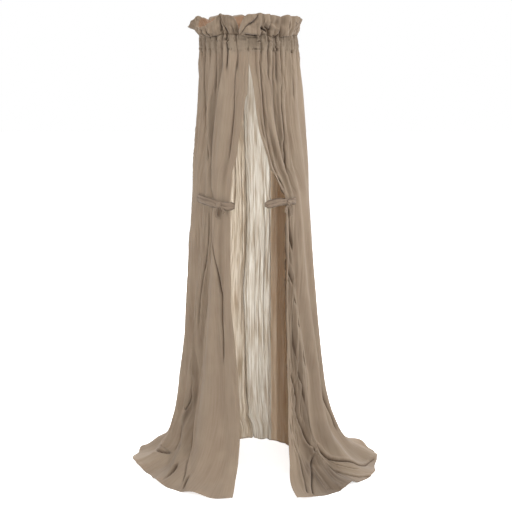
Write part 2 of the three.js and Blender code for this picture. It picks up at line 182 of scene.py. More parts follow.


# A cloth of one thickness over a grid of points [row, column]. finishes holds pairs of outer and inner
# materials, faceFinish the pair's number for each face, and fold the painted shade at each point, which
# darkens the cloth's colour in and beside folds and in other shaded places.
# closed joins the last column to the first
def clothObject(name, points, uv, finishes, thickness=1.0, faceFinish=None, closed=False, fold=None):
    rows, columns = points.shape[0] - 1, points.shape[1] - 1
    index = np.arange((rows + 1) * (columns + 1)).reshape(rows + 1, columns + 1)
    if closed:
        index[:, -1] = index[:, 0]
    quads = [index[:-1, :-1], index[1:, :-1], index[1:, 1:], index[:-1, 1:]]
    quads = np.stack(quads, axis=-1).reshape(-1, 4)
    places = place(points).reshape(-1, 3)
    # The faces are turned to look away from the hoop's axis
    edge1 = places[quads[:, 1]] - places[quads[:, 0]]
    edge2 = places[quads[:, 2]] - places[quads[:, 0]]
    normal = np.cross(edge1, edge2)
    outward = places[quads[:, 0]] - (0, -veil["hoopBack"] / 1000, 0)
    if (normal[:, :2] * outward[:, :2]).sum() < 0:
        quads = quads[:, ::-1]
    mesh = bpy.data.meshes.new(name)
    mesh.from_pydata(places.tolist(), [], quads.tolist())
    layer = mesh.uv_layers.new(name="cloth")
    corners = np.empty(len(mesh.loops), int)
    mesh.loops.foreach_get("vertex_index", corners)
    flat = (np.asarray(uv).reshape(-1, 2) / 1000)[corners]
    if closed:
        wide = flat[:, 0].reshape(-1, 4)
        span = np.asarray(uv)[0, -1, 0] / 1000
        wrapped = (wide.max(axis=1) - wide.min(axis=1) > span / 2)[:, None] & (wide < span / 2)
        flat[:, 0] = (wide + span * wrapped).reshape(-1)
    layer.data.foreach_set("uv", flat.astype(np.float32).ravel())
    # The painted shade goes with the mesh as its fold value, which the cloth's material reads
    if fold is not None:
        paintedShade = mesh.attributes.new("fold", "FLOAT", "POINT")
        paintedShade.data.foreach_set("value", np.clip(fold, 0, 1).astype(np.float32).ravel())
    for pair in finishes:
        for finish in pair:
            mesh.materials.append(finish)
    if faceFinish is not None:
        slots = (np.asarray(faceFinish) * 2).astype(np.int32)
        mesh.polygons.foreach_set("material_index", slots.ravel())
    mesh.polygons.foreach_set("use_smooth", np.ones(len(mesh.polygons), bool))
    mesh.update()
    piece = bpy.data.objects.new(name, mesh)
    bpy.context.scene.collection.objects.link(piece)
    solidify = piece.modifiers.new("thickness", "SOLIDIFY")
    solidify.thickness = thickness / 1000
    solidify.offset = 0
    solidify.material_offset = 1
    bpy.context.view_layer.objects.active = piece
    piece.select_set(True)
    bpy.ops.object.modifier_apply(modifier=solidify.name)
    piece.select_set(False)
    return piece


# Materials
# Hex sRGB to the linear colour that Blender's sockets take.
def linear(colour):
    parts = [int(colour[i : i + 2], 16) / 255 for i in (1, 3, 5)]
    return tuple(c / 12.92 if c <= 0.04045 else ((c + 0.055) / 1.055) ** 2.4 for c in parts) + (1,)


# Adds one node, with its settings, and its inputs as values or as the sockets that feed them
def addNode(tree, kind, inputs=None, **settings):
    node = tree.nodes.new("ShaderNode" + kind)
    for key, value in settings.items():
        setattr(node, key, value)
    for key, value in (inputs or {}).items():
        if isinstance(value, bpy.types.NodeSocket):
            tree.links.new(value, node.inputs[key])
        else:
            node.inputs[key].default_value = value
    return node


def newMaterial(name):
    material = bpy.data.materials.new(name)
    material.use_nodes = True
    material.node_tree.nodes.clear()
    return material, material.node_tree


# Cotton muslin, loosely woven and crinkled in the wash, gives the eye a soft matt taupe with fine upright
# streaks, where the crinkle bunches its threads, and a faint glow where light comes through the open weave.
# Its threads lie about 0.5 mm apart, and are drawn coarser so that they show
muslinValues = {
    "streakWidth": 6.0,
    "streakLength": 120.0,
    "patchSize": 80.0,
    "crinkleWidth": 2.6,
    "crinkleLength": 20.0,
    "crinkleDepth": 0.2,
    "threadPitch": 0.75,
    "threadDepth": 0.08,
    "roughness": 0.92,
    "specular": 0.2,
    "sheen": 0.2,
    "sheenRoughness": 0.55,
}


# The fifth colour is a painted shade, laid on by the mesh's fold value in and beside folds; lit is the
# share of light that passes through, and glow its colour
def muslin(name, colour, streak, patch, paintedShade, lit, glow, glowStreak):
    values = muslinValues
    material, tree = newMaterial(name)
    uv = addNode(tree, "UVMap", uv_map="cloth")
    # How often each pattern repeats to the metre, across and down the cloth
    repeats = {
        "streak": (1000 / values["streakWidth"], 1000 / values["streakLength"], 1),
        "patch": (1000 / values["patchSize"],) * 3,
        "crinkle": (1000 / values["crinkleWidth"], 1000 / values["crinkleLength"], 1),
        "thread": (1000 / values["threadPitch"],) * 3,
    }
    at = {}
    for pattern, scale in repeats.items():
        at[pattern] = addNode(tree, "Mapping", {"Vector": uv.outputs[0], "Scale": scale}).outputs[0]
    streaks = addNode(tree, "TexNoise", {"Vector": at["streak"], "Scale": 1, "Detail": 3, "Roughness": 0.6})
    spread = {"Value": streaks.outputs[0], "From Min": 0.35, "From Max": 0.72, "To Min": 0, "To Max": 1}
    streakShare = addNode(tree, "MapRange", spread, interpolation_type="SMOOTHSTEP").outputs[0]
    patches = addNode(tree, "TexNoise", {"Vector": at["patch"], "Scale": 1, "Detail": 2})
    spread = {"Value": patches.outputs[0], "From Min": 0.4, "From Max": 0.65, "To Min": 0, "To Max": 0.6}
    patchShare = addNode(tree, "MapRange", spread).outputs[0]
    # Painted shade: the mesh's fold value darkens the seen and passed colours in and beside folds
    paintedShadeShare = addNode(tree, "Attribute", attribute_name="fold").outputs["Fac"]
    seen, passed = linear(colour), linear(glow)
    for share, tint in ((streakShare, streak), (patchShare, patch), (paintedShadeShare, paintedShade)):
        blend = {"Factor": share, 6: seen, 7: linear(tint)}
        seen = addNode(tree, "Mix", blend, data_type="RGBA").outputs[2]
    for share, tint in ((streakShare, glowStreak), (paintedShadeShare, paintedShade)):
        blend = {"Factor": share, 6: passed, 7: linear(tint)}
        passed = addNode(tree, "Mix", blend, data_type="RGBA").outputs[2]
    fine = addNode(tree, "TexNoise", {"Vector": at["crinkle"], "Scale": 1, "Detail": 3, "Roughness": 0.55})
    ridges = {"Height": fine.outputs[0], "Strength": 1, "Distance": values["crinkleDepth"] / 1000}
    crinkled = addNode(tree, "Bump", ridges).outputs[0]
    threads = addNode(tree, "TexVoronoi", {"Vector": at["thread"], "Scale": 1, "Randomness": 0.35})
    depth = values["threadDepth"] / 1000
    woven = {"Height": threads.outputs[0], "Strength": 0.4, "Distance": depth, "Normal": crinkled}
    woven = addNode(tree, "Bump", woven).outputs[0]
    surface = {
        "Base Color": seen,
        "Roughness": values["roughness"],
        "Specular IOR Level": values["specular"],
        "Sheen Weight": values["sheen"],
        "Sheen Roughness": values["sheenRoughness"],
        "Normal": woven,
    }
    surface = addNode(tree, "BsdfPrincipled", surface).outputs[0]
    through = addNode(tree, "BsdfTranslucent", {"Color": passed, "Normal": woven}).outputs[0]
    mixed = addNode(tree, "MixShader", {0: lit, 1: surface, 2: through})
    addNode(tree, "OutputMaterial", {"Surface": mixed.outputs[0]})
    return material


# The curtains: a single layer, taupe outside; the warmer colour inside is painted light, for light that
# has passed through it
outerMuslin = muslin(
    "taupe_muslin", "#a39280", "#9c8a77", "#ac9c88", "#5f4d3c", 0.3, "#e0cfba", "#d2c0aa"
)
innerMuslin = muslin(
    "taupe_muslin_inside", "#a58c75", "#987e66", "#ad947c", "#6b553f", 0.42, "#e4ccb0", "#ccb193"
)
# The crown: doubled cloth, painted darker as shade where less light comes through it, and painted a rosy
# brown inside the frill, for light that has passed through it
crownMuslin = muslin(
    "crown_muslin", "#948270", "#84725f", "#9c8974", "#4f3e2e", 0.12, "#d2b79d", "#b0937a"
)
crownInside = muslin(
    "crown_muslin_inside", "#9d7d64", "#8c6e56", "#a2846b", "#553f2f", 0.16, "#c8a284", "#a98467"
)
# The ties: several layers and nearly opaque, painted the darkest as shade where no light comes through
tieMuslin = muslin("tie_muslin", "#8c7a69", "#7a6958", "#93816f", "#4f3f31", 0.06, "#c0a890", "#a08a74")
# The back: one thin layer with light behind it. Its inside is painted light, cream on the right and
# beige on the left, and painted shade, amber brown, where the right curtain lies behind it as a second
# layer
backOuter = muslin(
    "back_muslin_outside", "#a79b8e", "#978a7b", "#aca194", "#6f5d49", 0.64, "#fffdf8", "#cfc4b6"
)
creamLit = muslin(
    "back_muslin_lit", "#cdc5b8", "#b3a796", "#d6cec2", "#78644c", 0.64, "#fffdf6", "#d2c6b6"
)
beigeLit = muslin(
    "back_muslin_half_lit", "#c6b9a6", "#aa9b86", "#cfc4b4", "#78644c", 0.7, "#fff6e8", "#cdbda8"
)
brownShaded = muslin(
    "back_muslin_painted_shade", "#f3ddc3", "#e8cfb2", "#f6e3cb", "#a98d6c", 0.52, "#fff2e0", "#f0dcc0"
)
print("cloth materials made")


# Crown: the casing, with its gathers pinched along two stitch rows, and the frill above it
crownValues = {
    "columns": 900,
    "casingRows": 34,
    "frillRows": 96,
    # Pinches of the gathers that the front shows, and the spacing of the rest
    "pinches": [
        -76, -68, -60.4, -49.6, -40.4, -30, -25, -14,
        8.5, 13.4, 22.4, 29.8, 38.4, 48, 57.3, 66, 74,
    ],
    "pinchSpacing": 10.6,
    "flatRound": 1650.0,  # length of the cloth before it is gathered
    "casingCut": 52,  # height of the casing's cloth
    "rearOpening": 8.0,  # degrees on each side of the rear that the holder takes
    "tight": 155.8,  # radius of the casing where the headings press it on the hoop
    "facingColumns": 420,
    "facingRows": 22,
    "facing": [(0, 154.6), (0.3, 150.8), (0.82, 150.8), (1, 154.6)],  # (share of the height, radius)
    "frillHeight": 75.0,
    "frillMiddle": 182,  # radius half way up the frill
    "frillOutside": 0.56,  # share of the frill's rows that have the outside's finish
}


def pinchStations(values):
    front = values["pinches"]
    around = front[0] + 360 - front[-1]
    count = round(around / values["pinchSpacing"])
    rest = [front[-1] + around * (i + 1) / count for i in range(count - 1)]
    wobble = np.random.default_rng(3).uniform(-2.2, 2.2, len(rest))
    return np.array(front + list(np.array(rest) + wobble))


# 1 on a gather's crest, -1 in its pinch, with pinches narrower than crests.
def gatherWave(angle, values):
    valleys = pinchStations(values)
    ring = np.concatenate([[valleys[-1] - 360], valleys, [valleys[0] + 360]])
    turn = (angle - ring[0]) % 360 + ring[0]
    phase = np.interp(turn, ring, np.arange(len(ring)))
    return 1 - 2 * np.abs(np.cos(np.pi * phase)) ** 4


# A crease at each pinch, from the share start on over a length between the two ends. It leans by up to
# fan degrees
def pinchCreases(values, start, ends, depth, width, fan, seed):
    chance = np.random.default_rng(seed)
    creases = []
    for place in pinchStations(values):
        for turn in (-360, 0, 360):
            if not -200 <= place + turn <= 300:
                continue
            end = start + (ends[1] - ends[0]) * chance.random() + ends[0]
            lean = fan * chance.uniform(-1, 1)
            deep = depth * chance.uniform(0.7, 1.2)
            middle = (start + end) / 2
            points = [
                (start, place + turn, deep, width),
                (middle, place + turn + 0.4 * lean, deep, width),
                (end, place + turn + lean, 0.5 * deep, width),
            ]
            creases.append({"lap": chance.uniform(-0.6, 0.6), "points": points})
    return creases


# Radius of the cloth where the casing ends and the hanging cloth starts
def casingFoot(angle):
    return 160.0 + 4.4 * gatherWave(angle, crownValues)


# Height by which the upper stitch row wavers, at the front as the photo shows: (degrees, millimetres)
stitchRow = [
    (-95, 0), (-70, 2), (-58, -1), (-48, -3), (-40, -1), (-31, 4), (-20, 4), (-10, 1), (0, -1), (12, -1),
    (18, 4), (24, -2), (32, -7), (38, -3), (44, -2), (55, 1), (70, 0), (95, 0),
]


def headWander(angle):
    turn = np.radians(angle)
    rear = 3.2 * softNoise(5 + 6 * np.sin(turn), 5 + 6 * np.cos(turn), 31) * ease(80, 110, np.abs(angle))
    return rear + along(stitchRow, np.clip(angle, -95, 95))


# Radius of the cloth at the upper stitch row, where the frill starts
def casingHead(angle):
    return 160.2 - 2.8 * np.sin(np.radians(angle)) + 3.2 * gatherWave(angle, crownValues)


# Curtains: the folds of each curtain, its free edge and the train it runs out into
leftCurtain = {
    "name": "left_curtain_cloth",
    "node": "left_curtain",
    "body": "left_drape",
    "side": -1,
    "seed": 11,
    "rear": 150.0,  # degrees from the front where the curtain ends
    "smooth": (30, 13),  # degrees at the middle of the flat stretch, and half its width
    # The heading is painted darker, as shade, where the cloth lies double
    "paintedDoubleShade": 0.13,  # how much darker the heading is, where the cloth lies double
    "crumpled": (66, 10, 0.5, 0.7),  # degrees, half width, where it starts, and how much more it crinkles
    "flat": (850, 1590, 1.02),  # a flared cut: hem width, length and area in square metres
    # Free edge: (share of the drop, degrees)
    "edge": [
        (0, 0.12), (0.026, 0.14), (0.063, 1.0), (0.094, 1.5), (0.103, 3.2), (0.14, 5.7), (0.177, 8.0),
        (0.2, 10.3), (0.227, 11.7), (0.25, 13.8), (0.274, 16.9), (0.31, 18.5), (0.35, 19), (0.57, 17),
        (0.635, 14.3), (0.716, 10.7), (0.81, 7.5), (0.9, 6.5), (1, 7),
    ],
    # Valleys of the main folds: (share of the drop, degrees)
    "valleys": [
        [(0, 14), (0.14, 17), (0.347, 28), (0.55, 28), (0.75, 25), (1, 17)],
        [(0, 31), (0.14, 42), (0.347, 44), (0.47, 44), (0.75, 53), (0.87, 54), (0.96, 44), (1, 35)],
        [(0, 53), (0.347, 60), (0.75, 70), (1, 62)],
        [(0, 76), (0.347, 80), (0.75, 88), (1, 90)],
        [(0, 98), (0.347, 102), (0.75, 108), (1, 112)],
        [(0, 122), (0.347, 125), (0.75, 128), (1, 131)],
    ],
    # Reach of the train round the curtain: (degrees, share of the full train)
    "train": [
        (7, 1.03), (13, 1.05), (28, 1.04), (44, 1.02), (55, 0.975), (64, 0.985), (72, 1.0), (82, 0.995),
        (92, 0.985), (104, 0.93), (118, 0.8), (150, 0.5),
    ],
    # How far the side of the drape billows out: (share of the drop, millimetres)
    "billow": [
        (0, 0), (0.15, 0), (0.28, 9), (0.4, 13), (0.55, 14), (0.65, 12), (0.8, 14), (0.9, 8), (1, 0),
    ],
    # Sharp creases. Their points are (share of the drop, degrees, depth, half width). A lap of 1 folds the
    # front side over the rear side, -1 the other way, and 0 is a plain valley
    "creases": [
        {"lap": 0, "points": [(0, 71.5, 7, 4), (0.067, 68.5, 6, 4), (0.16, 67, 2.5, 4)]},
        {"lap": 0.4, "points": [
            (0, 50.5, 8, 4), (0.03, 50.2, 8, 4), (0.09, 51.5, 7, 4), (0.19, 50.5, 5, 4),
            (0.26, 48.6, 3, 4),
        ]},
        {"lap": 0.8, "points": [
            (0, 29, 7, 4), (0.038, 31.2, 8, 4.5), (0.064, 33, 8, 4.5), (0.091, 34.8, 9, 5),
            (0.121, 37.8, 9, 5), (0.152, 40.2, 10, 5), (0.18, 41.3, 12, 5), (0.218, 43.2, 13, 5),
            (0.257, 43.6, 13, 5), (0.295, 43, 12, 5), (0.32, 42, 10, 5), (0.34, 40, 6, 4),
        ]},
        {"lap": 0, "points": [
            (0.01, 14, 3, 3.2), (0.07, 16.5, 3, 3.2), (0.14, 17.2, 2, 3.5), (0.2, 20, 2, 4),
            (0.26, 23, 1, 4),
        ]},
        {"lap": 0, "points": [(0, 39.4, 7, 4), (0.03, 39.3, 5, 4), (0.1, 42, 2, 4)]},
        {"lap": 0, "points": [(-0.0266, 28.5, 7, 2.6), (-0.0222, 25.4, 9, 2.8), (-0.027, 22.4, 7, 2.6)]},
        {"lap": 0.3, "points": [(-0.034, 15, 8, 3), (-0.022, 14.6, 8, 3), (-0.006, 13.4, 9, 3.4)]},
        {"lap": 0, "points": [(0, 61, 7, 4), (0.1, 60, 5, 4), (0.2, 57, 2, 5)]},
        {"lap": 0, "points": [(0, 25, 5, 4), (0.03, 25.5, 2.5, 4), (0.05, 26, 1, 4)]},
        {"lap": 0.6, "points": [
            (0.352, 42, 5, 4), (0.38, 42, 8, 4.5), (0.47, 42.4, 8, 4.5), (0.56, 45.6, 9, 4.5),
            (0.598, 47.8, 9, 4.5), (0.653, 48.8, 10, 4.5), (0.702, 49.8, 10, 5), (0.743, 50.5, 10, 5),
            (0.777, 52.2, 10, 5), (0.812, 52.5, 10, 5), (0.847, 52.2, 10, 5), (0.867, 53.2, 10, 5.5),
            (0.898, 51.8, 9, 6), (0.927, 49.6, 8, 6), (0.955, 44.6, 8, 6), (0.968, 41.6, 8, 6),
            (0.979, 38.4, 8, 6), (0.988, 36, 5, 6),
        ]},
        {"lap": -0.5, "points": [
            (0.43, 41, 5, 3.5), (0.5, 34, 6, 3.5), (0.55, 30.2, 7, 4), (0.567, 28.4, 7, 4),
            (0.627, 27.7, 7, 4), (0.67, 26.1, 6, 4), (0.733, 25, 3, 4),
        ]},
        {"lap": 0, "points": [
            (0.355, 53, 7, 4), (0.42, 54, 5, 4), (0.566, 59.1, 4, 4), (0.615, 58.7, 4, 4),
            (0.65, 59, 2, 4),
        ]},
        {"lap": 0.4, "points": [
            (0.72, 62, 4, 4), (0.75, 61, 7, 4), (0.78, 58.8, 8, 4), (0.808, 59.4, 8, 5),
            (0.829, 59.4, 8, 5), (0.853, 61, 8, 5), (0.872, 64, 8, 6), (0.9, 66.6, 7, 6),
            (0.921, 66.4, 6, 7), (0.942, 65.6, 6, 7), (0.955, 64, 6, 7), (0.963, 63.6, 4, 7),
        ]},
        {"lap": 0, "points": [
            (0.974, 77, 4, 7), (0.971, 72, 8, 7), (0.966, 66.4, 8, 7), (0.962, 63, 4, 7),
        ]},
        {"lap": 0, "points": [
            (0.8, 57.5, 2, 12), (0.86, 59.5, 4, 14), (0.91, 60, 4, 15), (0.96, 55, 3, 15),
        ]},
        {"lap": 0.6, "points": [
            (0.998, 46.7, 4, 6), (0.984, 46.9, 7, 6), (0.973, 48.9, 7, 6), (0.962, 51.5, 3, 6),
        ]},
        {"lap": -0.4, "points": [(0.9995, 31.5, 5, 6), (0.989, 33.5, 6, 6), (0.975, 35, 4, 6)]},
        {"lap": 0, "points": [(0.36, 47, 3, 3), (0.45, 47.5, 4, 3), (0.55, 53, 3, 3), (0.66, 56, 2, 4)]},
        {"lap": 0.3, "points": [
            (0.4, 76, 2, 4), (0.52, 78, 5, 4), (0.68, 80, 6, 5), (0.82, 84, 6, 6), (0.9, 84, 3, 7),
        ]},
    ],
    # Patches of painted shade, where the cloth is bunched in several layers: (share, degrees, half height,
    # half width, darker by)
    "paintedShadePatches": [
        (0.835, 57.5, 0.03, 5, 0.3), (0.87, 60, 0.03, 7, 0.34), (0.9, 61, 0.03, 8, 0.34),
        (0.93, 59, 0.03, 8, 0.32), (0.955, 55, 0.025, 8, 0.28), (0.975, 50, 0.02, 8, 0.2),
        (0.84, 43, 0.14, 10, 0.1), (0.6, 56, 0.3, 9, 0.08),
    ],
}
rightCurtain = {
    "name": "right_curtain_cloth",
    "node": "right_curtain",
    "body": "right_drape",
    "side": 1,
    "seed": 47,
    "rear": 151.6,
    "smooth": (78, 16),
    "paintedDoubleShade": 0.28,
    "crumpled": (42, 9, 0.42, 1.5),
    "flat": (850, 1590, 1.02),
    # Free edge: (share of the drop, degrees)
    "edge": [
        (0, 0.12), (0.024, 0.3), (0.035, 1.3), (0.061, 3.5), (0.1, 6.2), (0.131, 7.5), (0.154, 9.3),
        (0.177, 10.8), (0.217, 16.2), (0.237, 19), (0.266, 22.4), (0.284, 28.2), (0.307, 33.2),
        (0.34, 41), (0.57, 37), (0.75, 34), (0.9, 28), (0.95, 24.4), (0.975, 21.8), (1, 19.6),
    ],
    "valleys": [
        [(0, 13), (0.15, 18), (0.24, 30), (0.347, 48), (0.55, 42), (0.75, 42), (1, 38)],
        [(0, 28), (0.15, 31), (0.24, 40), (0.347, 55), (0.5, 51), (0.75, 63), (0.87, 58), (1, 55)],
        [(0, 45), (0.2, 50), (0.347, 66), (0.75, 78), (1, 77)],
        [(0, 68), (0.347, 82), (0.75, 94), (1, 97)],
        [(0, 93), (0.347, 101), (0.75, 110), (1, 113)],
        [(0, 120), (0.347, 124), (0.75, 128), (1, 131)],
    ],
    "train": [
        (22, 1.12), (28, 1.11), (37, 1.13), (48, 1.1), (60, 1.13), (84, 1.11), (98, 1.08), (118, 0.81),
        (150, 0.5),
    ],
    "billow": [
        (0, 0), (0.05, 6), (0.15, 10), (0.28, 18), (0.45, 22), (0.6, 24), (0.75, 24), (0.86, 19),
        (0.95, 12), (1, 0),
    ],
    "creases": [
        {"lap": 0, "points": [
            (0.01, 11.6, 4, 3.6), (0.061, 14, 6, 3.6), (0.098, 15.4, 6, 3.6), (0.155, 17.2, 7, 4),
            (0.188, 19.2, 7, 4), (0.217, 21.2, 8, 4.5), (0.243, 23.6, 8, 4.5), (0.275, 28.9, 8, 4.5),
            (0.305, 35.4, 8, 4), (0.33, 42.4, 5, 4),
        ]},
        {"lap": 0.4, "points": [
            (0, 27.5, 8, 3.4), (0.048, 28, 6, 3.4), (0.103, 29.1, 5, 3.4), (0.146, 30.3, 5, 3.4),
            (0.189, 32.3, 5, 3.6), (0.225, 37, 5, 3.6), (0.257, 42, 5, 3.6), (0.28, 44, 3, 4),
        ]},
        {"lap": 0, "points": [
            (0, 38.6, 9, 4), (0.055, 38.5, 8, 4), (0.112, 37, 7, 4), (0.147, 38.4, 7, 4),
            (0.19, 40.4, 6, 4), (0.214, 41, 6, 4), (0.258, 44.2, 5, 4), (0.3, 48, 2, 4),
        ]},
        {"lap": 0, "points": [
            (0, 47, 5, 3.4), (0.033, 46.6, 4, 3.4), (0.09, 44.7, 4, 3.4), (0.156, 42.9, 2, 3.4),
        ]},
        {"lap": 0, "points": [(0, 32.5, 6, 3.5), (0.05, 33, 3, 4), (0.08, 33, 1, 4)]},
        {"lap": 0, "points": [(0, 57, 7, 4), (0.06, 57, 4, 4), (0.12, 57, 1.5, 5)]},
        {"lap": 0, "points": [(0, 22.4, 6, 3.5), (0.04, 22.4, 3, 4), (0.07, 22, 1, 4)]},
        {"lap": 0.4, "points": [
            (0.28, 31, 3, 3), (0.297, 35, 7, 3), (0.312, 38.4, 10, 3), (0.327, 41.4, 10, 3),
            (0.342, 44, 8, 3),
        ]},
        {"lap": -0.8, "points": [
            (0.352, 46.2, 7, 4), (0.38, 47.6, 7, 3.6), (0.411, 48.4, 6, 3.6), (0.442, 48.8, 5, 3.6),
            (0.467, 49.2, 5, 3.8), (0.487, 48.8, 6, 4), (0.503, 48.4, 6, 4), (0.525, 48.9, 7, 4),
            (0.553, 50.3, 8, 4), (0.584, 50.6, 7, 4), (0.612, 52.8, 7, 4), (0.648, 54.6, 8, 4),
            (0.687, 55.9, 8, 4), (0.73, 56.4, 8, 4.5), (0.769, 60.4, 8, 5), (0.805, 59.8, 8, 5),
            (0.84, 56.9, 7, 5), (0.875, 54.4, 6, 5), (0.905, 53.8, 6, 5),
        ]},
        {"lap": -0.7, "points": [
            (0.905, 53, 4, 3.4), (0.922, 54, 9, 3.8), (0.934, 55.8, 13, 4), (0.948, 56.4, 14, 4),
            (0.96, 57.4, 14, 4), (0.968, 60, 13, 4), (0.975, 63.4, 10, 4), (0.982, 66, 8, 4),
            (0.989, 68, 7, 4.5), (0.994, 74, 8, 4.5), (0.9975, 82, 6, 4.5),
        ]},
        {"lap": 0, "points": [
            (0.378, 41.4, 5, 3.2), (0.421, 40.7, 6, 3.2), (0.463, 40, 8, 3.2), (0.501, 39.7, 6, 3.2),
            (0.528, 39, 9, 3.2), (0.541, 40.4, 8, 3.2), (0.565, 39.7, 6, 3.2), (0.626, 40.4, 6, 3.5),
            (0.698, 38.5, 8, 4), (0.748, 41.5, 8, 4), (0.784, 43.7, 9, 4), (0.821, 44.2, 9, 4),
            (0.85, 42.7, 10, 4), (0.887, 44.5, 11, 4.4), (0.921, 45.2, 11, 4.4), (0.944, 47.6, 9, 4.4),
            (0.952, 50, 5, 4.4),
        ]},
        {"lap": 0, "points": [
            (0.46, 41, 4, 3), (0.486, 42.9, 8, 3), (0.508, 44.2, 9, 3), (0.529, 45.2, 8, 3),
            (0.55, 46.4, 3, 3),
        ]},
        {"lap": 0, "points": [
            (0.6, 45.5, 2, 3), (0.7, 47, 4, 3.5), (0.8, 49.5, 5, 4), (0.87, 49, 4, 4), (0.92, 49, 2, 5),
        ]},
        {"lap": -0.5, "points": [
            (0.945, 48, 5, 3.4), (0.957, 49.4, 10, 3.8), (0.967, 50.6, 12, 3.8), (0.978, 52, 12, 3.8),
            (0.986, 54.6, 12, 3.8), (0.991, 57, 10, 3.8), (0.996, 59, 8, 3.8), (0.9995, 62, 5, 3.8),
        ]},
        {"lap": 0.4, "points": [
            (0.935, 46.5, 5, 5), (0.946, 45, 9, 5), (0.97, 37.2, 10, 5), (0.986, 31.7, 10, 5),
            (0.997, 28.4, 7, 5),
        ]},
        {"lap": 0, "points": [
            (0.85, 30.7, 3, 4), (0.89, 31.7, 5, 4), (0.918, 32.9, 8, 4), (0.944, 33, 9, 4),
            (0.965, 31.2, 9, 4.5), (0.982, 29.2, 9, 4.5), (0.995, 26.4, 6, 4.5),
        ]},
        {"lap": 0, "points": [
            (0.78, 36.5, 3, 3.5), (0.84, 37.5, 6, 3.5), (0.89, 38.5, 7, 4), (0.93, 38, 4, 4),
        ]},
        {"lap": 0, "points": [
            (0.9, 48.6, 3, 3.4), (0.925, 50, 6, 3.4), (0.945, 52.4, 7, 3.4), (0.96, 53.4, 4, 3.4),
        ]},
        {"lap": 0.3, "points": [
            (0.955, 58, 3, 3.4), (0.967, 56.6, 6, 3.4), (0.98, 59.6, 6, 3.4), (0.99, 63.4, 4, 3.4),
        ]},
        {"lap": 0.4, "points": [(0.72, 74, 3, 6), (0.8, 80, 7, 7), (0.88, 84, 8, 8), (0.94, 82, 7, 9)]},
        {"lap": 0, "points": [(-0.0045, 6, 6, 2.4), (-0.0064, 8.2, 9, 2.6), (-0.005, 10.6, 6, 2.4)]},
        {"lap": 0, "points": [(-0.0225, 8.6, 6, 2.6), (-0.0236, 12.6, 9, 2.8), (-0.0165, 13.4, 8, 2.6)]},
        {"lap": 0.3, "points": [
            (-0.0352, 20.5, 9, 2.8), (-0.03, 22, 10, 3), (-0.0235, 24, 8, 2.8), (-0.02, 25, 4, 2.6),
        ]},
        {"lap": 0.3, "points": [(-0.0215, 22.6, 8, 2.6), (-0.0165, 23.6, 9, 2.8), (-0.011, 23.4, 7, 2.6)]},
        {"lap": 0, "points": [(-0.027, 35, 7, 2.6), (-0.0225, 35.2, 9, 3), (-0.018, 34.5, 6, 2.6)]},
        {"lap": 0, "points": [(-0.012, 31, 8, 2.8), (-0.005, 32.6, 9, 2.8), (0.001, 33, 7, 2.6)]},
        {"lap": 0, "points": [(-0.004, 57, 7, 2.6), (0.001, 59, 9, 2.6), (0.006, 59.5, 6, 2.6)]},
    ],
    "paintedShadePatches": [
        (0.985, 38, 0.035, 10, 0.8), (0.99, 48, 0.03, 9, 0.8), (0.96, 44, 0.03, 6, 0.6),
        (0.97, 53, 0.02, 5, 0.4), (0.99, 76, 0.04, 12, 0.3), (0.8, 84, 0.2, 24, 0.14),
        (0.9, 50, 0.06, 5, 0.36), (0.8, 50, 0.12, 6, 0.28), (0.93, 66, 0.05, 9, 0.32),
        (0.93, 88, 0.06, 12, 0.26), (0.65, 47, 0.2, 6, 0.14),
    ],
}
curtainValues = {
    "columns": 340,
    "rows": 380,
    "heading": 50.5,  # the part above the curtain's solid, gathered on the casing
    # Depth of the main folds down the drop
    "foldDepths": [
        (0, 1.5), (0.06, 5), (0.15, 8), (0.26, 7), (0.33, 3.8), (0.365, 3.8), (0.44, 7), (0.6, 10),
        (1, 16),
    ],
    # How much deeper than their tables the creases are, down the drop, and how much narrower
    "creaseDepths": [
        (-0.036, 0.8), (0, 1.4), (0.04, 2.0), (0.2, 1.8), (0.3, 1.6), (0.4, 1.4), (0.8, 1.25), (1, 1.1),
    ],
    "creaseWidth": 0.85,
    # foldShade and besideFolds give a painted shade line beside the edge of each fold
    "foldShade": 2.4,  # width of the dark line beside the edge of a fold
    "besideFolds": 0.85,  # how dark that line is
    "hemLift": 12.0,
    "hemWidth": 14.0,
    "edgeHem": 11.0,
    "calmTrain": 0.78,  # how much less the train crinkles than the drop
    "humps": 8.0,  # height of the soft humps on the train
    "tucks": 2.6,  # depth of the small tucks in the casing
    "crinkles": [(8, 150, 1.5), (18, 330, 3.0)],
    "scallop": (75, 6.0),  # length and depth of the hem's waves
}
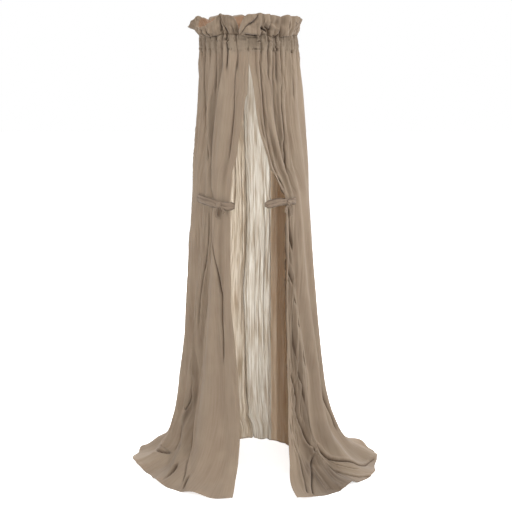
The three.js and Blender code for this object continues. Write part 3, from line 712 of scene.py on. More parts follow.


# Outward depth, sideways lap and painted shade of the sharp creases at each point of a cloth. depths says
# how much deeper than in the table they are along the cloth, and narrow how much narrower
def creaseField(creases, shares, downs, angle, radius, depths=((-1, 1), (2, 1)), narrow=1):
    depth, lap, shade = (np.zeros_like(angle) for _ in range(3))
    down = downs[:, None] + 0 * angle
    for crease in creases:
        points = np.array(crease["points"], float)
        stations = np.arange(len(points))
        fine = np.linspace(0, len(points) - 1, 5 * (len(points) - 1) + 1)
        path = [along(np.stack([stations, column], axis=1), fine) for column in points.T]
        pathDown = np.interp(path[0], shares, downs)
        sizes = np.radians(np.interp(path[0], shares, radius[:, radius.shape[1] // 3]))
        # A crease that starts or ends on the cloth fades in and out
        run = np.concatenate([[0], np.cumsum(np.hypot(np.diff(path[1]) * sizes[1:], np.diff(pathDown)))])
        fade = min(40, 0.35 * run[-1])
        if points[0, 0] > shares[0] + 0.005:
            path[2] = path[2] * ease(0, fade, run)
        if points[-1, 0] < 0.985 * shares[-1]:
            path[2] = path[2] * ease(run[-1], run[-1] - fade, run)
        paintedCreaseShade = np.clip(path[2] / 6.6, 0, 1)
        path[2] = path[2] * along(depths, path[0])
        path[3] = path[3] * narrow
        rows = np.flatnonzero((downs > pathDown.min() - 30) & (downs < pathDown.max() + 30))
        rows = slice(rows[0], rows[-1] + 1)
        best = np.full(angle[rows].shape, 1e9)
        signed, deep, dark, width = (np.zeros_like(best) for _ in range(4))
        width = width + 1
        for i in range(len(fine) - 1):
            size = (sizes[i] + sizes[i + 1]) / 2
            ax, ay = path[1][i] * size, pathDown[i]
            bx, by = path[1][i + 1] * size - ax, pathDown[i + 1] - ay
            px, py = angle[rows] * size - ax, down[rows] - ay
            t = np.clip((px * bx + py * by) / max(bx * bx + by * by, 1e-9), 0, 1)
            distance = np.hypot(px - t * bx, py - t * by)
            closer = distance < best
            best = np.where(closer, distance, best)
            side = np.where(bx * py - by * px > 0, -1.0, 1.0)
            signed = np.where(closer, side * distance, signed)
            deep = np.where(closer, path[2][i] + (path[2][i + 1] - path[2][i]) * t, deep)
            dark = np.where(closer, paintedCreaseShade[i] + (paintedCreaseShade[i + 1] - paintedCreaseShade[i]) * t, dark)
            width = np.where(closer, path[3][i] + (path[3][i + 1] - path[3][i]) * t, width)
        q = signed / width
        over = crease["lap"]
        valley = 0.42 * bell(np.abs(q) - 2.1, 1.2) - bell(q, 0.85)
        turned = q * (1 if over >= 0 else -1)
        step = -0.6 * np.tanh(2.4 * turned) * bell(turned, 2.6) - 0.7 * bell(turned - 0.55, 0.65)
        depth[rows] += deep * ((1 - abs(over)) * valley + abs(over) * step)
        # The rims of a valley lean together and nearly close it; a lapped rim reaches over the other side
        closed = np.clip(deep / 9, 0, 1) * width * ease(9, 5.5, width)
        lean = -0.78 * np.sign(q) * bell(np.abs(q) - 1, 0.55) * closed
        reach = deep * 0.5 * over * bell(turned + 0.45, 0.75)
        reach = reach - 0.5 * np.sign(over) * bell(turned - 1.3, 0.6) * closed
        lap[rows] += (1 - abs(over)) * lean + abs(over) * reach
        # Painted shade darkens the crease's line, the more so the deeper the crease
        shade[rows] = np.maximum(shade[rows], dark * bell(turned - 0.45 * abs(over), 0.68))
    return depth, lap, shade


# Where the columns gather at one height: (degrees, width, gain), with gains that come and go smoothly
def creaseCentres(creases, share):
    centres = []
    for crease in creases:
        shares = [point[0] for point in crease["points"]]
        here = float(ease(shares[0] - 0.1, shares[0], share) * ease(shares[-1] + 0.1, shares[-1], share))
        centre = float(np.interp(share, shares, [point[1] for point in crease["points"]]))
        if here > 0:
            centres.append((centre, 2.6, 2.4 * here))
    return centres


# Shares of the drop and lengths down the cloth of the rows: close together in the heading, which is the
# part in the casing and has shares below 0, and then evenly spaced out along a full train
def rowPlaces(rows, heading):
    fine = np.linspace(0, 1, 4000)
    floorRadius = veil["curtainTopRadius"] + veil["curtainTaper"]
    radius = veil["curtainTaper"] * fine + (veil["trainReach"] - floorRadius) * runOut(fine)
    height = veil["curtainTop"] * (1 - fine)
    length = np.concatenate([[0], np.cumsum(np.hypot(np.diff(radius), np.diff(height)))])
    places = np.linspace(-heading, length[-1], 8000)
    total = np.cumsum(1 + 2.6 * ease(130, 30, places))
    downs = np.interp(np.linspace(total[0], total[-1], rows + 1), total, places)
    shares = np.where(downs < 0, downs / veil["curtainTop"], np.interp(downs, length, fine))
    return shares, downs


# The curtain's creases, carried on up through its heading, and one at each other pinch of the gathers
def withHeading(curtain, values):
    top = -values["heading"] / veil["curtainTop"]
    chance = np.random.default_rng(curtain["seed"] + 40)
    creases, taken = [], []
    for crease in curtain["creases"]:
        points = list(crease["points"])
        if points[0][0] == 0:
            _, at, deep, wide = points[0]
            taken.append(at)
            points.insert(0, (0.42 * top, at + chance.uniform(-1.1, 1.1), deep, 0.9 * wide))
            points.insert(0, (top, at + chance.uniform(-1.8, 1.8), deep, 0.8 * wide))
        creases.append({"lap": crease["lap"], "points": points})
    for pinch in pinchStations(crownValues):
        for at in (curtain["side"] * pinch, curtain["side"] * (pinch - 360)):
            if not 11 < at < curtain["rear"] - 3 or min(abs(at - other) for other in taken) < 3.5:
                continue
            end = chance.uniform(0.004, 0.06)
            deep = chance.uniform(6, 9)
            lean = chance.uniform(-1.5, 1.5)
            points = [
                (top, at - lean, deep, 3),
                (0.4 * top, at + 0.5 * lean, deep, 3),
                (end, at + lean, deep, 3.4),
            ]
            creases.append({"lap": chance.uniform(-0.5, 0.5), "points": points})
    return creases


# Painted shade on the cloth that a fold's edge covers, and just beside that edge. Seen from the hoop's
# axis a fold covers cloth where the angle turns back along a row
def besideFolds(turned, radial, width):
    reached = np.maximum.accumulate(turned, axis=1)
    size = np.radians(1) * radial
    covered = (reached - turned) * size > veil["cloth"] * 1.2
    edge = np.maximum.accumulate(np.where(covered, reached, turned[0, 0] - 99), axis=1)
    return bell(np.maximum(turned - edge, 0) * size, width)


def makeCurtain(curtain, values):
    rows, columns = values["rows"], values["columns"]
    shares, downs = rowPlaces(rows, values["heading"])
    creases = withHeading(curtain, values)
    share, down, length = shares[:, None], downs[:, None], downs[-1]
    rear = curtain["rear"]
    angles, phases = [], []
    for here in shares:
        low = max(float(along(curtain["edge"], here)), 0.12)
        row = packedColumns(low, rear, columns, creaseCentres(creases, here) + [(low, 4.0, 1.6)])
        stations = [low] + [float(along(valley, here)) for valley in curtain["valleys"]] + [rear]
        angles.append(row)
        phases.append(wavePhase(stations, row))
    angle, wave = np.array(angles), np.cos(2 * np.pi * np.array(phases))
    low = angle[:, :1]
    across = (angle - low) / (rear - low) * curtain["flat"][0]
    radius = curtainRadius(np.maximum(share, 0), angle, curtain["train"])
    radius = radius + along(curtain["billow"], share) * ease(45, 80, angle) * ease(135, 105, angle)
    fold = along(values["foldDepths"], share) * wave
    lift = values["hemLift"] * runOut(share) * (1 + wave) / 2
    sharper = (values["creaseDepths"], values["creaseWidth"])
    depth, lap, shade = creaseField(creases, shares, downs, angle, radius, *sharper)
    seed = curtain["seed"]
    # Painted shade in patches where the cloth lies bunched
    paintedShadePatches = 0 * angle
    for middle, at, high, wide, darker in curtain["paintedShadePatches"]:
        spot = darker * bell((share - middle) / high, 1) * bell((angle - at) / wide, 1)
        paintedShadePatches = np.maximum(paintedShadePatches, spot)
    shade = np.maximum(shade, paintedShadePatches * (0.85 + 0.3 * softNoise(across / 9, down / 90, seed + 30)))
    settle = ease(0, 0.05, share)
    # The flat stretches lie smooth, and so does the train
    middle, half = curtain["smooth"]
    calm = 1 - 0.9 * ease(half + 8, half - 4, np.abs(angle - middle))
    calm = calm * (1 - values["calmTrain"] * ease(0.8, 0.96, share))
    middle, half, start, gain = curtain["crumpled"]
    calm = calm + gain * ease(half + 6, half - 4, np.abs(angle - middle)) * ease(start, start + 0.12, share)
    rumple = crinkle(across, down, values["crinkles"], seed) * (0.35 + 0.65 * settle) * calm
    # Soft hollows and humps where the train lies on the floor
    humps = softNoise(across / 95, down / 80, seed + 3) + 0.5 * softNoise(across / 42, down / 46, seed + 4)
    rumple = rumple + values["humps"] * humps * ease(0.8, 0.97, share)
    # The turned hems stand up a little, each with a sewn groove along it
    fromEdge = np.radians(angle - low) * radius
    hem = 0.8 * bell(fromEdge - 0.35 * values["edgeHem"], 4.0)
    hem = hem - 1.0 * bell(fromEdge - values["edgeHem"], 1.6)
    fromHem = length - down
    bottom = 0.8 * ease(values["hemWidth"] + 1, values["hemWidth"] - 1, fromHem)
    bottom = bottom - 0.7 * bell(fromHem - values["hemWidth"] - 1, 1.5)
    scallopLength, scallopDepth = values["scallop"]
    flutter = softNoise(across / scallopLength, 0.5, seed + 5) + 0.4 * softNoise(across / 22, 0.5, seed + 6)
    reachOut = scallopDepth * flutter * ease(0.75, 1, runOut(share))
    # At the top the cloth starts in the gathers of its casing
    around = curtain["side"] * angle
    t = np.clip(-down / values["heading"], 0, 1)
    gathers = casingFoot(around) * (1 - t) + casingHead(around) * t - veil["curtainTopRadius"]
    gathers = gathers + along([(0, 0), (0.45, 1.8), (0.84, 0.6), (1, 0)], t)
    tucks = softNoise(across / 7, down / 8, seed + 21) * (bell(t - 0.16, 0.16) + bell(t - 0.72, 0.2))
    tucks = tucks * values["tucks"] * ease(0.03, 0.0, share)
    # Painted shade in the hollows of the tucks
    shade = np.maximum(shade, 0.6 * np.clip(-tucks / 2 - 0.25, 0, 1))
    hanging = ease(-0.01, 0.03, share)
    out = fold * hanging + depth + rumple * (0.4 + 0.6 * hanging)
    out = out + hem * (0.4 + 0.6 * settle) * ease(-0.004, 0.01, share)
    out = out + (gathers + tucks) * (1 - ease(0, 0.09, share))
    # The cloth's outward direction turns from level to upright where the train lies down
    slope = np.gradient(curtainRadius(shares, 60.0, curtain["train"]), shares)[:, None]
    tilt = np.arctan2(slope, veil["curtainTop"])
    height = 1.0 + (veil["curtainTop"] - 1.5) * (1 - share) + lift
    radial = radius + out * np.cos(tilt) + reachOut
    height = height + (depth + rumple + bottom) * np.sin(tilt)
    height = np.where(height < 3, 0.8 + 2.2 * np.exp((height - 3) / 2.2), height)
    height = height + headWander(around) * ease(0.3, 1, t)
    # In the casing it stays outside the hoop and the casing's own cloth
    radial = np.where(share < 0, np.maximum(radial, 157.2 + 3.6 * np.sin(np.pi * t)), radial)
    turned = angle + np.degrees(lap / radius) * ease(1, 0.9, t)
    points = polar(curtain["side"], turned, radial, height)
    uv = np.stack(np.broadcast_arrays(across, down), axis=-1)
    # Painted shade beside the edges of folds
    forward = besideFolds(turned, radial, values["foldShade"])
    backward = besideFolds(-turned[:, ::-1], radial[:, ::-1], values["foldShade"])[:, ::-1]
    beside = np.maximum(forward, backward) * ease(0.9, 0.6, t) * (1 - 0.5 * ease(0.76, 0.9, share))
    shade = np.maximum(shade, values["besideFolds"] * beside)
    # The heading lies double on the casing, so no light comes through it, and painted shade darkens it
    paintedDoubleShade = curtain["paintedDoubleShade"] + 0.1 * softNoise(across / 14, 0.5, seed + 33)
    shade = np.maximum(shade, paintedDoubleShade * ease(0.02, 0.5, t + 0.1 * softNoise(across / 24, 0.5, seed + 34)))
    finishes = [(outerMuslin, innerMuslin)]
    piece = clothObject(curtain["name"], points, uv, finishes, veil["cloth"], fold=shade)
    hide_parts(curtain["node"])
    wide, long, area = curtain["flat"]
    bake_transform(piece)


for side in (leftCurtain, rightCurtain):
    makeCurtain(side, curtainValues)
print("curtains made")


# Back panels: two loom widths that meet in a wavering seam at the centre back
backValues = {
    "columns": 200,
    "rows": 170,
    "topRadius": 157.5,
    "taper": 14.0,
    "folds": (1.2, 7.0),  # depth of the main folds at the top and at the floor
    "frontEdge": 100.0,  # degrees from the front, inside the curtains
    "doubleUpTo": 151.6,  # where the curtain behind the right panel ends
    "crinkles": [(8, 160, 1.1), (17, 330, 2.0)],
    # Valleys of the main folds, and how far the seam wanders from the rear: (share of the drop, degrees)
    "valleys": [
        [(0, 108), (0.347, 107), (0.75, 108), (1, 108)],
        [(0, 122), (0.347, 121), (0.75, 123), (1, 124)],
        [(0, 136), (0.347, 137), (0.75, 138), (1, 138)],
        [(0, 150), (0.347, 149), (0.75, 151), (1, 152)],
        [(0, 163), (0.347, 164), (0.75, 165), (1, 165)],
    ],
    "seamWander": [
        (0, 3.5), (0.12, 6.2), (0.21, 5.8), (0.25, 5), (0.35, 3.7), (0.39, 3.2), (0.5, 4.4), (0.6, 7),
        (0.69, 5.7), (0.78, 4.9), (0.84, 4.3), (0.9, 3), (0.92, 1.6), (0.94, 2.1), (0.964, -2.2),
        (1, -4.3),
    ],
    # The seam's dark line is painted shade, where its folded allowance lets less light through
    "seamShade": 1.7,  # half width of the dark line in the seam's groove
    # Painted shade: how much darker the cloth is down the drop, away from the light that comes in at its
    # middle
    "dimmer": [(0, 0.22), (0.1, 0.2), (0.22, 0.08), (0.45, 0), (0.65, 0), (0.85, 0.1), (1, 0.14)],
    # Painted shade where the curtain behind the panel ends
    "pooled": 0.3,  # how much darker the cloth is where the curtain behind it ends
    "seamGroove": (14.0, 2.4),  # depth and half width
    "hemHeight": 36,
    "creases": 11,
    "creaseDepth": 5.0,
    "flat": (330, 1430),
}


# Upright creases that wander down part of a panel
def panelCreases(low, high, seed, values):
    chance = np.random.default_rng(seed)
    creases = []
    for i in range(values["creases"]):
        at = low + (high - low) * (i + chance.uniform(0.1, 0.9)) / values["creases"]
        start, length = chance.uniform(0.05, 0.5), chance.uniform(0.25, 0.6)
        deep = values["creaseDepth"] * chance.uniform(0.5, 1)
        points = []
        for step in range(5):
            share = start + length * step / 4
            if share < 1:
                points.append((share, at + chance.uniform(-1.1, 1.1), deep, chance.uniform(2.6, 4)))
        creases.append({"lap": chance.uniform(-0.7, 0.7), "points": points})
    return creases


def makeBackPanel(name, node, side, seed, values):
    rows, columns = values["rows"], values["columns"]
    shares = np.linspace(0, 1, rows + 1)
    share = shares[:, None]
    down = share * veil["curtainTop"]
    seam = 180 + side * along(values["seamWander"], share)
    low = values["frontEdge"]
    spread = np.linspace(0, 1, columns + 1)[None, :]
    angle = low + (seam - 0.12 - low) * spread
    phases = []
    for here, row in zip(shares, angle):
        stations = [low] + [float(along(valley, here)) for valley in values["valleys"]] + [row[-1]]
        phases.append(wavePhase(stations, row))
    wave = np.cos(2 * np.pi * np.array(phases))
    top, bottom = values["folds"]
    flatter = 1 - 0.7 * (side > 0) * ease(158, 150, angle)
    radius = values["topRadius"] + values["taper"] * share + (top + (bottom - top) * share) * wave * flatter
    across = spread * values["flat"][0]
    height = 0.8 + (veil["curtainTop"] - 1.3) * (1 - share)
    behind = ease(155, 150, angle) * (side > 0)
    rumple = crinkle(across, down, values["crinkles"], seed) * ease(0, 0.04, share) * (1 - 0.6 * behind)
    fromSeam = np.radians(seam - angle) * radius
    # Each seam allowance turns outwards, behind the panel, and leaves a sharp groove inside
    deep, wide = values["seamGroove"]
    groove = deep * bell(fromSeam, wide) - 3.0 * bell(fromSeam - 7, 3.0)
    hem = values["hemHeight"]
    hemLine = 1.6 * bell(height - hem, 1.8) - 0.7 * ease(hem + 1, hem - 1, height)
    creases = panelCreases(low + 12, 177, seed + 9, values)
    creased, lapped, shade = creaseField(creases, shares, down[:, 0], angle, radius)
    broken = 0.75 + 0.35 * softNoise(down / 26, 0.5, 44)
    # Painted shade: less light comes in near the crown and near the floor, and the brown strip darkens
    # towards its edge
    dimmed = along(values["dimmer"], share) * (1 - behind)
    dimmed = np.maximum(dimmed, values["pooled"] * behind * ease(145.5, 149.5, angle))
    # The creases get a faint painted shade, and the seam's groove a dark painted line
    shade = np.maximum(0.25 * shade * (1 - behind), dimmed)
    shade = np.maximum(shade, broken * bell(fromSeam, values["seamShade"]))
    radius = radius + creased * (1 - 0.7 * behind) + rumple + hemLine + groove * ease(0, 0.03, share)
    angle = angle + np.degrees(lapped / radius) * ease(0, 1.5, seam - angle) * (1 - behind)
    points = polar(side, angle, radius, height)
    uv = np.stack(np.broadcast_arrays(across + 900 * (side > 0), down), axis=-1)
    # The inside is painted light, cream or beige, with a painted shade finish where the curtain lies behind
    inner = creamLit if side > 0 else beigeLit
    paintedDoubleShade = np.zeros((rows, columns), int)
    if side > 0:
        paintedDoubleShade[angle[:-1, :-1] < values["doubleUpTo"]] = 1
    finishes = [(backOuter, inner), (backOuter, brownShaded)]
    piece = clothObject(name, points, uv, finishes, veil["cloth"], paintedDoubleShade, fold=shade)
    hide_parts(node)
    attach(piece, "root")


makeBackPanel("back_left_cloth", "back_panel_left", -1, 83, backValues)
makeBackPanel("back_right_cloth", "back_panel_right", 1, 97, backValues)
print("back panels made")


def makeCasing(values):
    columns, rows = values["columns"], values["casingRows"]
    end = 180 - values["rearOpening"]
    angle = np.linspace(-end, end, columns + 1)[None, :]
    t = np.linspace(0, 1, rows + 1)[:, None]
    height = veil["casingBottom"] - 3 + (veil["casingTop"] - veil["casingBottom"] + 3) * t
    swell = along([(0, 0), (0.12, 0.2), (0.45, 1.8), (0.84, 0.6), (0.94, 0.2), (1, 0)], t)
    foot, head = casingFoot(angle), casingHead(angle)
    across = (angle + 180) / 360 * values["flatRound"]
    down = values["frillHeight"] + (1 - t) * values["casingCut"]
    tucks = softNoise(across / 8, down / 8, 21) * (bell(t - 0.12, 0.12) + bell(t - 0.84, 0.14)) * 4.6
    tucks = tucks * ease(0, 0.08, t) * ease(1, 0.94, t)
    grooves = pinchCreases(values, 0, (1, 1), 5.5, 3.2, 1.2, 71)
    fallen = 1 - t[::-1, 0]
    middle = veil["casingRadius"]
    field = creaseField(grooves, fallen, 53 * fallen, angle + 0 * t, middle + 0 * angle + 0 * t)
    creased, lapped, shade = (part[::-1] for part in field)
    rumple = crinkle(across, down, [(7, 60, 1.3), (15, 90, 1.8)], 22) * ease(0, 0.15, t) * ease(1, 0.9, t)
    radius = foot + (head - foot) * t + swell + tucks + rumple
    radius = radius + creased * ease(0, 0.05, t) * ease(1, 0.97, t)
    tight = values["tight"] + 3.6 * np.sin(np.pi * t)
    # The curtains' headings cover it, drawn tight over the hoop, as far as they reach round
    covered = ease(leftCurtain["rear"] + 1, leftCurtain["rear"] - 3, np.abs(angle))
    radius = np.maximum(radius, tight) * (1 - covered) + tight * covered
    points = polar(1, angle + np.degrees(lapped / middle) * (1 - covered), radius, height)[::-1]
    uv = np.stack(np.broadcast_arrays(across, down), axis=-1)[::-1]
    finishes = [(crownMuslin, crownInside)]
    # Painted shade darkens the casing's grooves
    piece = clothObject("casing_cloth", points, uv, finishes, veil["cloth"], fold=shade[::-1])
    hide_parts("casing_outer")
    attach(piece, "root")


def makeFacing(values):
    columns, rows = values["facingColumns"], values["facingRows"]
    end = 180 - values["rearOpening"]
    angle = np.linspace(-end, end, columns + 1)[None, :]
    t = np.linspace(0, 1, rows + 1)[:, None]
    height = veil["casingBottom"] + (veil["casingTop"] - veil["casingBottom"]) * t
    middle = np.interp(t, *np.array(values["facing"], float).T)
    across = (angle + 180) / 360 * 1000
    rumple = np.minimum(crinkle(across, 50 * t, [(9, 50, 0.7)], 61), 0.2)
    points = polar(1, angle, middle + rumple, height)[::-1]
    uv = np.stack(np.broadcast_arrays(across, 50 * (1 - t)), axis=-1)[::-1]
    piece = clothObject("facing_cloth", points, uv, [(crownMuslin, crownInside)], veil["cloth"])
    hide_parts("casing_facing")
    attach(piece, "root")


# Frill: cloth that stands up from the stitch row, turns over a soft fold and comes down inside. Each place
# round it has (degrees, outward belly, outward and upward place of the fold, sag over the stitch row)
frillPlaces = [
    (-97, 22, 26, 46, 0.0), (-90, 25, 42, 28, 0.0), (-84, 22, 31, 42, 0.0), (-77, 11, 12, 63, 0.0),
    (-72, 9, 14, 52, 0.0), (-67, 22, 30, 27, 0.5), (-60, 28, 31, 25, 0.9), (-50, 30, 29, 27, 1.0),
    (-44, 28, 27, 34, 1.0), (-38, 23, 25, 47, 0.7), (-34, 17, 22, 60, 0.3), (-30.5, 12, 21, 70, 0.0),
    (-24, 20, 26, 64, 0.1), (-19.6, 18, 25, 62, 0.1), (-17, 11, 18, 52, 0.0), (-14.8, 5, 9, 30, 0.0),
    (-11.8, 4, 5, 9, 0.0), (-9, 8, 8, 13, 0.1), (-6.6, 18, 16, 32, 0.5), (-4, 25, 22, 50, 0.8),
    (-1.5, 28, 26, 61, 0.9), (1.5, 30, 28, 68, 1.0), (8.8, 24, 27, 69, 0.9), (15.4, 18, 25, 68, 0.3),
    (19.2, 15, 22, 65, 0.0), (22, 6, 9, 56, 0.0), (27, 20, 23, 63, 0.1), (32, 20, 23, 56, 0.4),
    (35, 4, 6, 46, 0.1), (38.5, 18, 18, 56, 0.8), (42, 26, 24, 64, 1.0), (49, 28, 27, 62, 1.0),
    (57, 26, 28, 62, 0.7), (64, 17, 25, 57, 0.2), (71, 9, 23, 49, 0.0), (77, 6, 12, 44, 0.0),
    (84, 5, 9, 46, 0.0), (92, 6, 10, 48, 0.0), (99, 14, 14, 53, 0.3), (110, 24, 25, 56, 0.8),
    (119, 6, 8, 48, 0.0), (130, 26, 27, 68, 0.7), (139, 24, 24, 64, 0.4), (146, 5, 7, 44, 0.0),
    (156, 25, 26, 67, 0.5), (166, 26, 28, 70, 0.9), (173, 6, 7, 48, 0.0), (183, 25, 25, 66, 0.4),
    (194, 27, 28, 70, 0.9), (202, 6, 8, 46, 0.0), (212, 25, 26, 67, 0.8), (223, 26, 28, 65, 0.4),
    (231, 6, 8, 50, 0.0), (241, 24, 22, 62, 0.6), (252, 20, 20, 60, 0.5), (258, 9, 13, 54, 0.0),
]
# Creases that fan up from the pinches: (share of the way to the fold, degrees, depth, half width)
frillCreases = [
    {"lap": 0, "points": [(0.1, -72, 8, 3), (0.04, -68, 10, 3), (0.1, -64, 5, 3)]},
    {"lap": 0.3, "points": [
        (0.08, -50.5, 8, 3), (0.3, -51.5, 9, 3.4), (0.6, -52.5, 8, 3.4), (0.85, -53.4, 4, 3),
    ]},
    {"lap": 0.3, "points": [
        (0.06, -43.5, 8, 3), (0.3, -45, 9, 3.4), (0.6, -47, 8, 3.4), (0.9, -48.5, 4, 3),
    ]},
    {"lap": 0, "points": [(0.14, -43, 6, 3), (0.06, -40.4, 11, 3.6), (0.1, -37.5, 6, 3)]},
    {"lap": 0, "points": [(0.1, -32.6, 9, 3.4), (0.4, -32.4, 9, 3.4), (0.7, -31.8, 6, 3.4)]},
    {"lap": 0.6, "points": [
        (0.04, -25, 9, 3.4), (0.3, -26.5, 9, 3.4), (0.65, -29.6, 7, 3.4), (0.9, -31, 3, 3.4),
    ]},
    {"lap": -0.4, "points": [(0.04, -17, 5, 3), (0.3, -18, 4, 3), (0.6, -20, 2, 4)]},
    {"lap": 0, "points": [(0.06, -13, 7, 3), (0.3, -10.6, 7, 3)]},
    {"lap": 0.8, "points": [
        (0.18, -9.5, 6, 3.4), (0.45, -4.2, 8, 3.6), (0.72, 3.4, 9, 3.6), (0.95, 11.6, 6, 3.4),
    ]},
    {"lap": 0, "points": [
        (0.22, -6.5, 5, 3), (0.2, -3, 8, 3.2), (0.17, 3, 10, 3.4), (0.14, 9, 9, 3.2), (0.1, 12, 5, 3),
    ]},
    {"lap": -0.7, "points": [
        (0.52, 10.8, 6, 3.4), (0.35, 14, 9, 3.6), (0.15, 18.5, 10, 3.6), (0, 21, 8, 3.2),
    ]},
    {"lap": 0, "points": [(0.5, 15.5, 4, 3), (0.3, 19.6, 6, 3.2), (0.12, 24, 5, 3)]},
    {"lap": 0, "points": [(0.25, 25, 7, 5), (0.4, 24.6, 11, 6.5), (0.55, 25, 9, 6), (0.68, 27, 5, 4)]},
    {"lap": 0, "points": [(0.3, 33.3, 5, 3), (0.14, 33.4, 8, 3), (0.07, 30, 9, 3), (0.1, 26.5, 6, 3)]},
    {"lap": 0.3, "points": [(0.03, 38.4, 9, 3.4), (0.3, 37, 10, 4), (0.6, 35.6, 9, 4), (0.9, 35, 5, 4)]},
    {"lap": 0, "points": [(0.12, 40, 7, 3), (0.06, 43, 10, 3.4), (0.07, 47, 8, 3), (0.1, 50, 4, 3)]},
    {"lap": 0, "points": [(0.3, 46, 3, 3), (0.55, 44.5, 6, 3.2), (0.8, 45, 4, 3)]},
    {"lap": 0.4, "points": [(0.2, 56, 3, 3), (0.5, 52, 6, 3.2), (0.8, 53, 4, 3)]},
    {"lap": 0, "points": [(0.45, 60, 5, 3), (0.6, 56, 6, 3), (0.7, 50.5, 4, 3)]},
    {"lap": 0, "points": [(0.05, 66, 5, 3), (0.35, 64, 6, 3.2), (0.7, 65, 4, 3.4)]},
]


def makeFrill(values):
    columns, rows = values["columns"], values["frillRows"]
    start, middle = frillPlaces[0][0], values["frillMiddle"]
    angle = np.linspace(start, start + 360, columns + 1)
    t = np.linspace(0, 1, rows + 1)[:, None]
    ring = frillPlaces[-2:] + frillPlaces + frillPlaces[:3]
    turns = [-360] * 2 + [0] * len(frillPlaces) + [360] * 3
    at = np.array([place[0] + turn for place, turn in zip(ring, turns)])
    columnsOf = [np.stack([at, [place[k] for place in ring]], axis=1) for k in range(1, 5)]
    belly, lipOut, lipUp, sag = (along(column, angle) for column in columnsOf)
    # Share of the way up the outside, over the fold at 1 and down the inside to 2
    way = 2 * t
    sag = np.clip(sag, 0, 1)
    stations = [0, 0.06, 0.18, 0.4, 0.7, 0.9, 1]
    full = along(list(zip(stations, [0, 0.28, 0.66, 1, 1.05, 1.04, 1])), way)
    flared = along([(0, 0), (0.2, 0.16), (0.45, 0.5), (0.7, 0.8), (0.9, 0.97), (1, 1)], way)
    outside = flared + (full - flared) * sag
    low = along(list(zip(stations, [0, -0.035, 0.03, 0.28, 0.66, 0.95, 1])), way)
    straight = along(list(zip(stations, [0, 0.07, 0.2, 0.42, 0.74, 0.96, 1])), way)
    up = (straight + (low - straight) * sag) * lipUp
    share = ease(0.35, 1, way)
    out = outside * (belly + (lipOut - belly) * share)
    # Inside, from the fold back down to the stitch row
    back = along([(1, 0), (1.08, 0.2), (1.25, 0.42), (1.6, 0.78), (2, 1)], way)
    fall = along([(1, 1), (1.08, 0.97), (1.25, 0.78), (1.6, 0.38), (2, 0)], way)
    inside = way > 1
    out = np.where(inside, lipOut * (1 - back) - 5 * ease(1, 1.15, way), out)
    up = np.where(inside, lipUp * fall, up)
    slope = np.gradient(lipOut, angle)
    turn = angle - np.clip(0.9 * slope, -2.4, 2.4) * ease(0.1, 0.6, way) * ease(2, 1.6, way)
    across = (angle - start) / 360 * values["flatRound"]
    down = t * 2 * values["frillHeight"]
    outer = ease(1.15, 0.95, way)
    ways = way[:, 0]
    fans = pinchCreases(values, 0.02, (0.22, 0.55), 6.5, 3.4, 7.0, 73)
    grown = [(0, 1.15), (2, 1.15)]
    field = (ways, values["frillHeight"] * ways, angle + 0 * way, middle + 0 * angle + 0 * way)
    creased, lapped, shade = creaseField(frillCreases, *field, grown)
    fanned, leaned, dark = creaseField(fans, *field)
    # The front's own creases take the place of the even ones
    even = 1 - 0.75 * ease(84, 70, np.abs(angle))
    creased, lapped = creased + fanned * even, lapped + leaned * even
    # Painted shade darkens the creases
    shade = np.maximum(shade, 0.8 * dark * even)
    # The stitch row under the frill is drawn in tight, and painted shade darkens it
    stitchRowShade = 0.35 + 0.4 * softNoise(across / 13, 0.5, 47)
    shade = np.maximum(shade * ease(1.3, 1, way), stitchRowShade * bell(way, 0.05))
    gathers = 1.6 * gatherWave(angle, values) * ease(0.35, 0.1, way)
    radiating = crinkle(across, down, [(11, 60, 2.0), (24, 90, 3.4)], 5)
    radiating = radiating * ease(0.02, 0.2, way) * (0.4 + 0.6 * even)
    lumps = softNoise(across / 30, down / 24, 9) * 5.0 + softNoise(across / 13, down / 12, 12) * 2.6
    lumps = lumps * ease(0.05, 0.4, way) * ease(2, 1.6, way)
    flutter = softNoise(across / 19, 0.5, 14) * 3.5 * bell(way - 1, 0.45)
    out = out + (creased * outer + gathers + radiating * (0.4 + 0.6 * outer) + lumps + 0.6 * flutter)
    dips = softNoise(across / 26, down / 34, 17) * 3.0 * ease(0.1, 0.6, way) * ease(2, 1.5, way)
    up = up + flutter * 0.8 + dips
    inward = ease(1, 1.6, way)
    base = casingHead(angle) * (1 - inward) + veil["stitchRadius"] * inward
    turn = turn + np.degrees(lapped * outer / middle)
    foot = veil["casingTop"] + 0.5 + headWander(angle) * (ease(0.5, 0, way) + 0.6 * ease(1.5, 2, way))
    points = polar(1, turn, base + out, foot + np.maximum(up, -4))[::-1]
    uv = np.stack(np.broadcast_arrays(across, down), axis=-1)[::-1]
    inner = np.zeros((rows, columns), int)
    inner[: rows - round(rows * values["frillOutside"])] = 1
    finishes = [(crownMuslin, crownMuslin), (crownInside, crownInside)]
    shade = shade[::-1]
    piece = clothObject("frill_cloth", points, uv, finishes, veil["cloth"], inner, closed=True, fold=shade)
    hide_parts("frill_front", "frill_back")
    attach(piece, "root")


makeCasing(crownValues)
makeFacing(crownValues)
makeFrill(crownValues)
print("crown made")


# Ties: a crumpled band along the outside of the curtain, round its free edge and back along the inside,
# a knot and two tails
tieValues = {
    "columns": 24,
    "rows": 260,
    "offset": 3.2 + 0.9 + 1.3,  # room for the curtain's crinkle, and half of both cloths
    "bandLength": 420,
    "leg": 0.42,  # share of the length before the band turns round the free edge
    "turnRadius": 166.0,
    "bandCloth": 1.4,
    "ripple": (1.5, 1.6),  # depth of the strands and of the crumples across them
    "puff": 4.2,  # how far the band stands out along its middle
    "knotRadius": 9.5,
    "knotDepth": 13.0,
    "knotOut": 3.2 + 0.9 + 0.5 + 1.6 + 0.35,  # room under the knot
    "knotRings": 40,
    "knotAround": 64,
    "tailWidth": 9.0,
    "tailSpacing": 2.6,
    "tailGap": 1.0,  # between the knot and where the tails start
    "tailCloth": 1.2,
    "tailRows": 40,
    "tailColumns": 12,
}
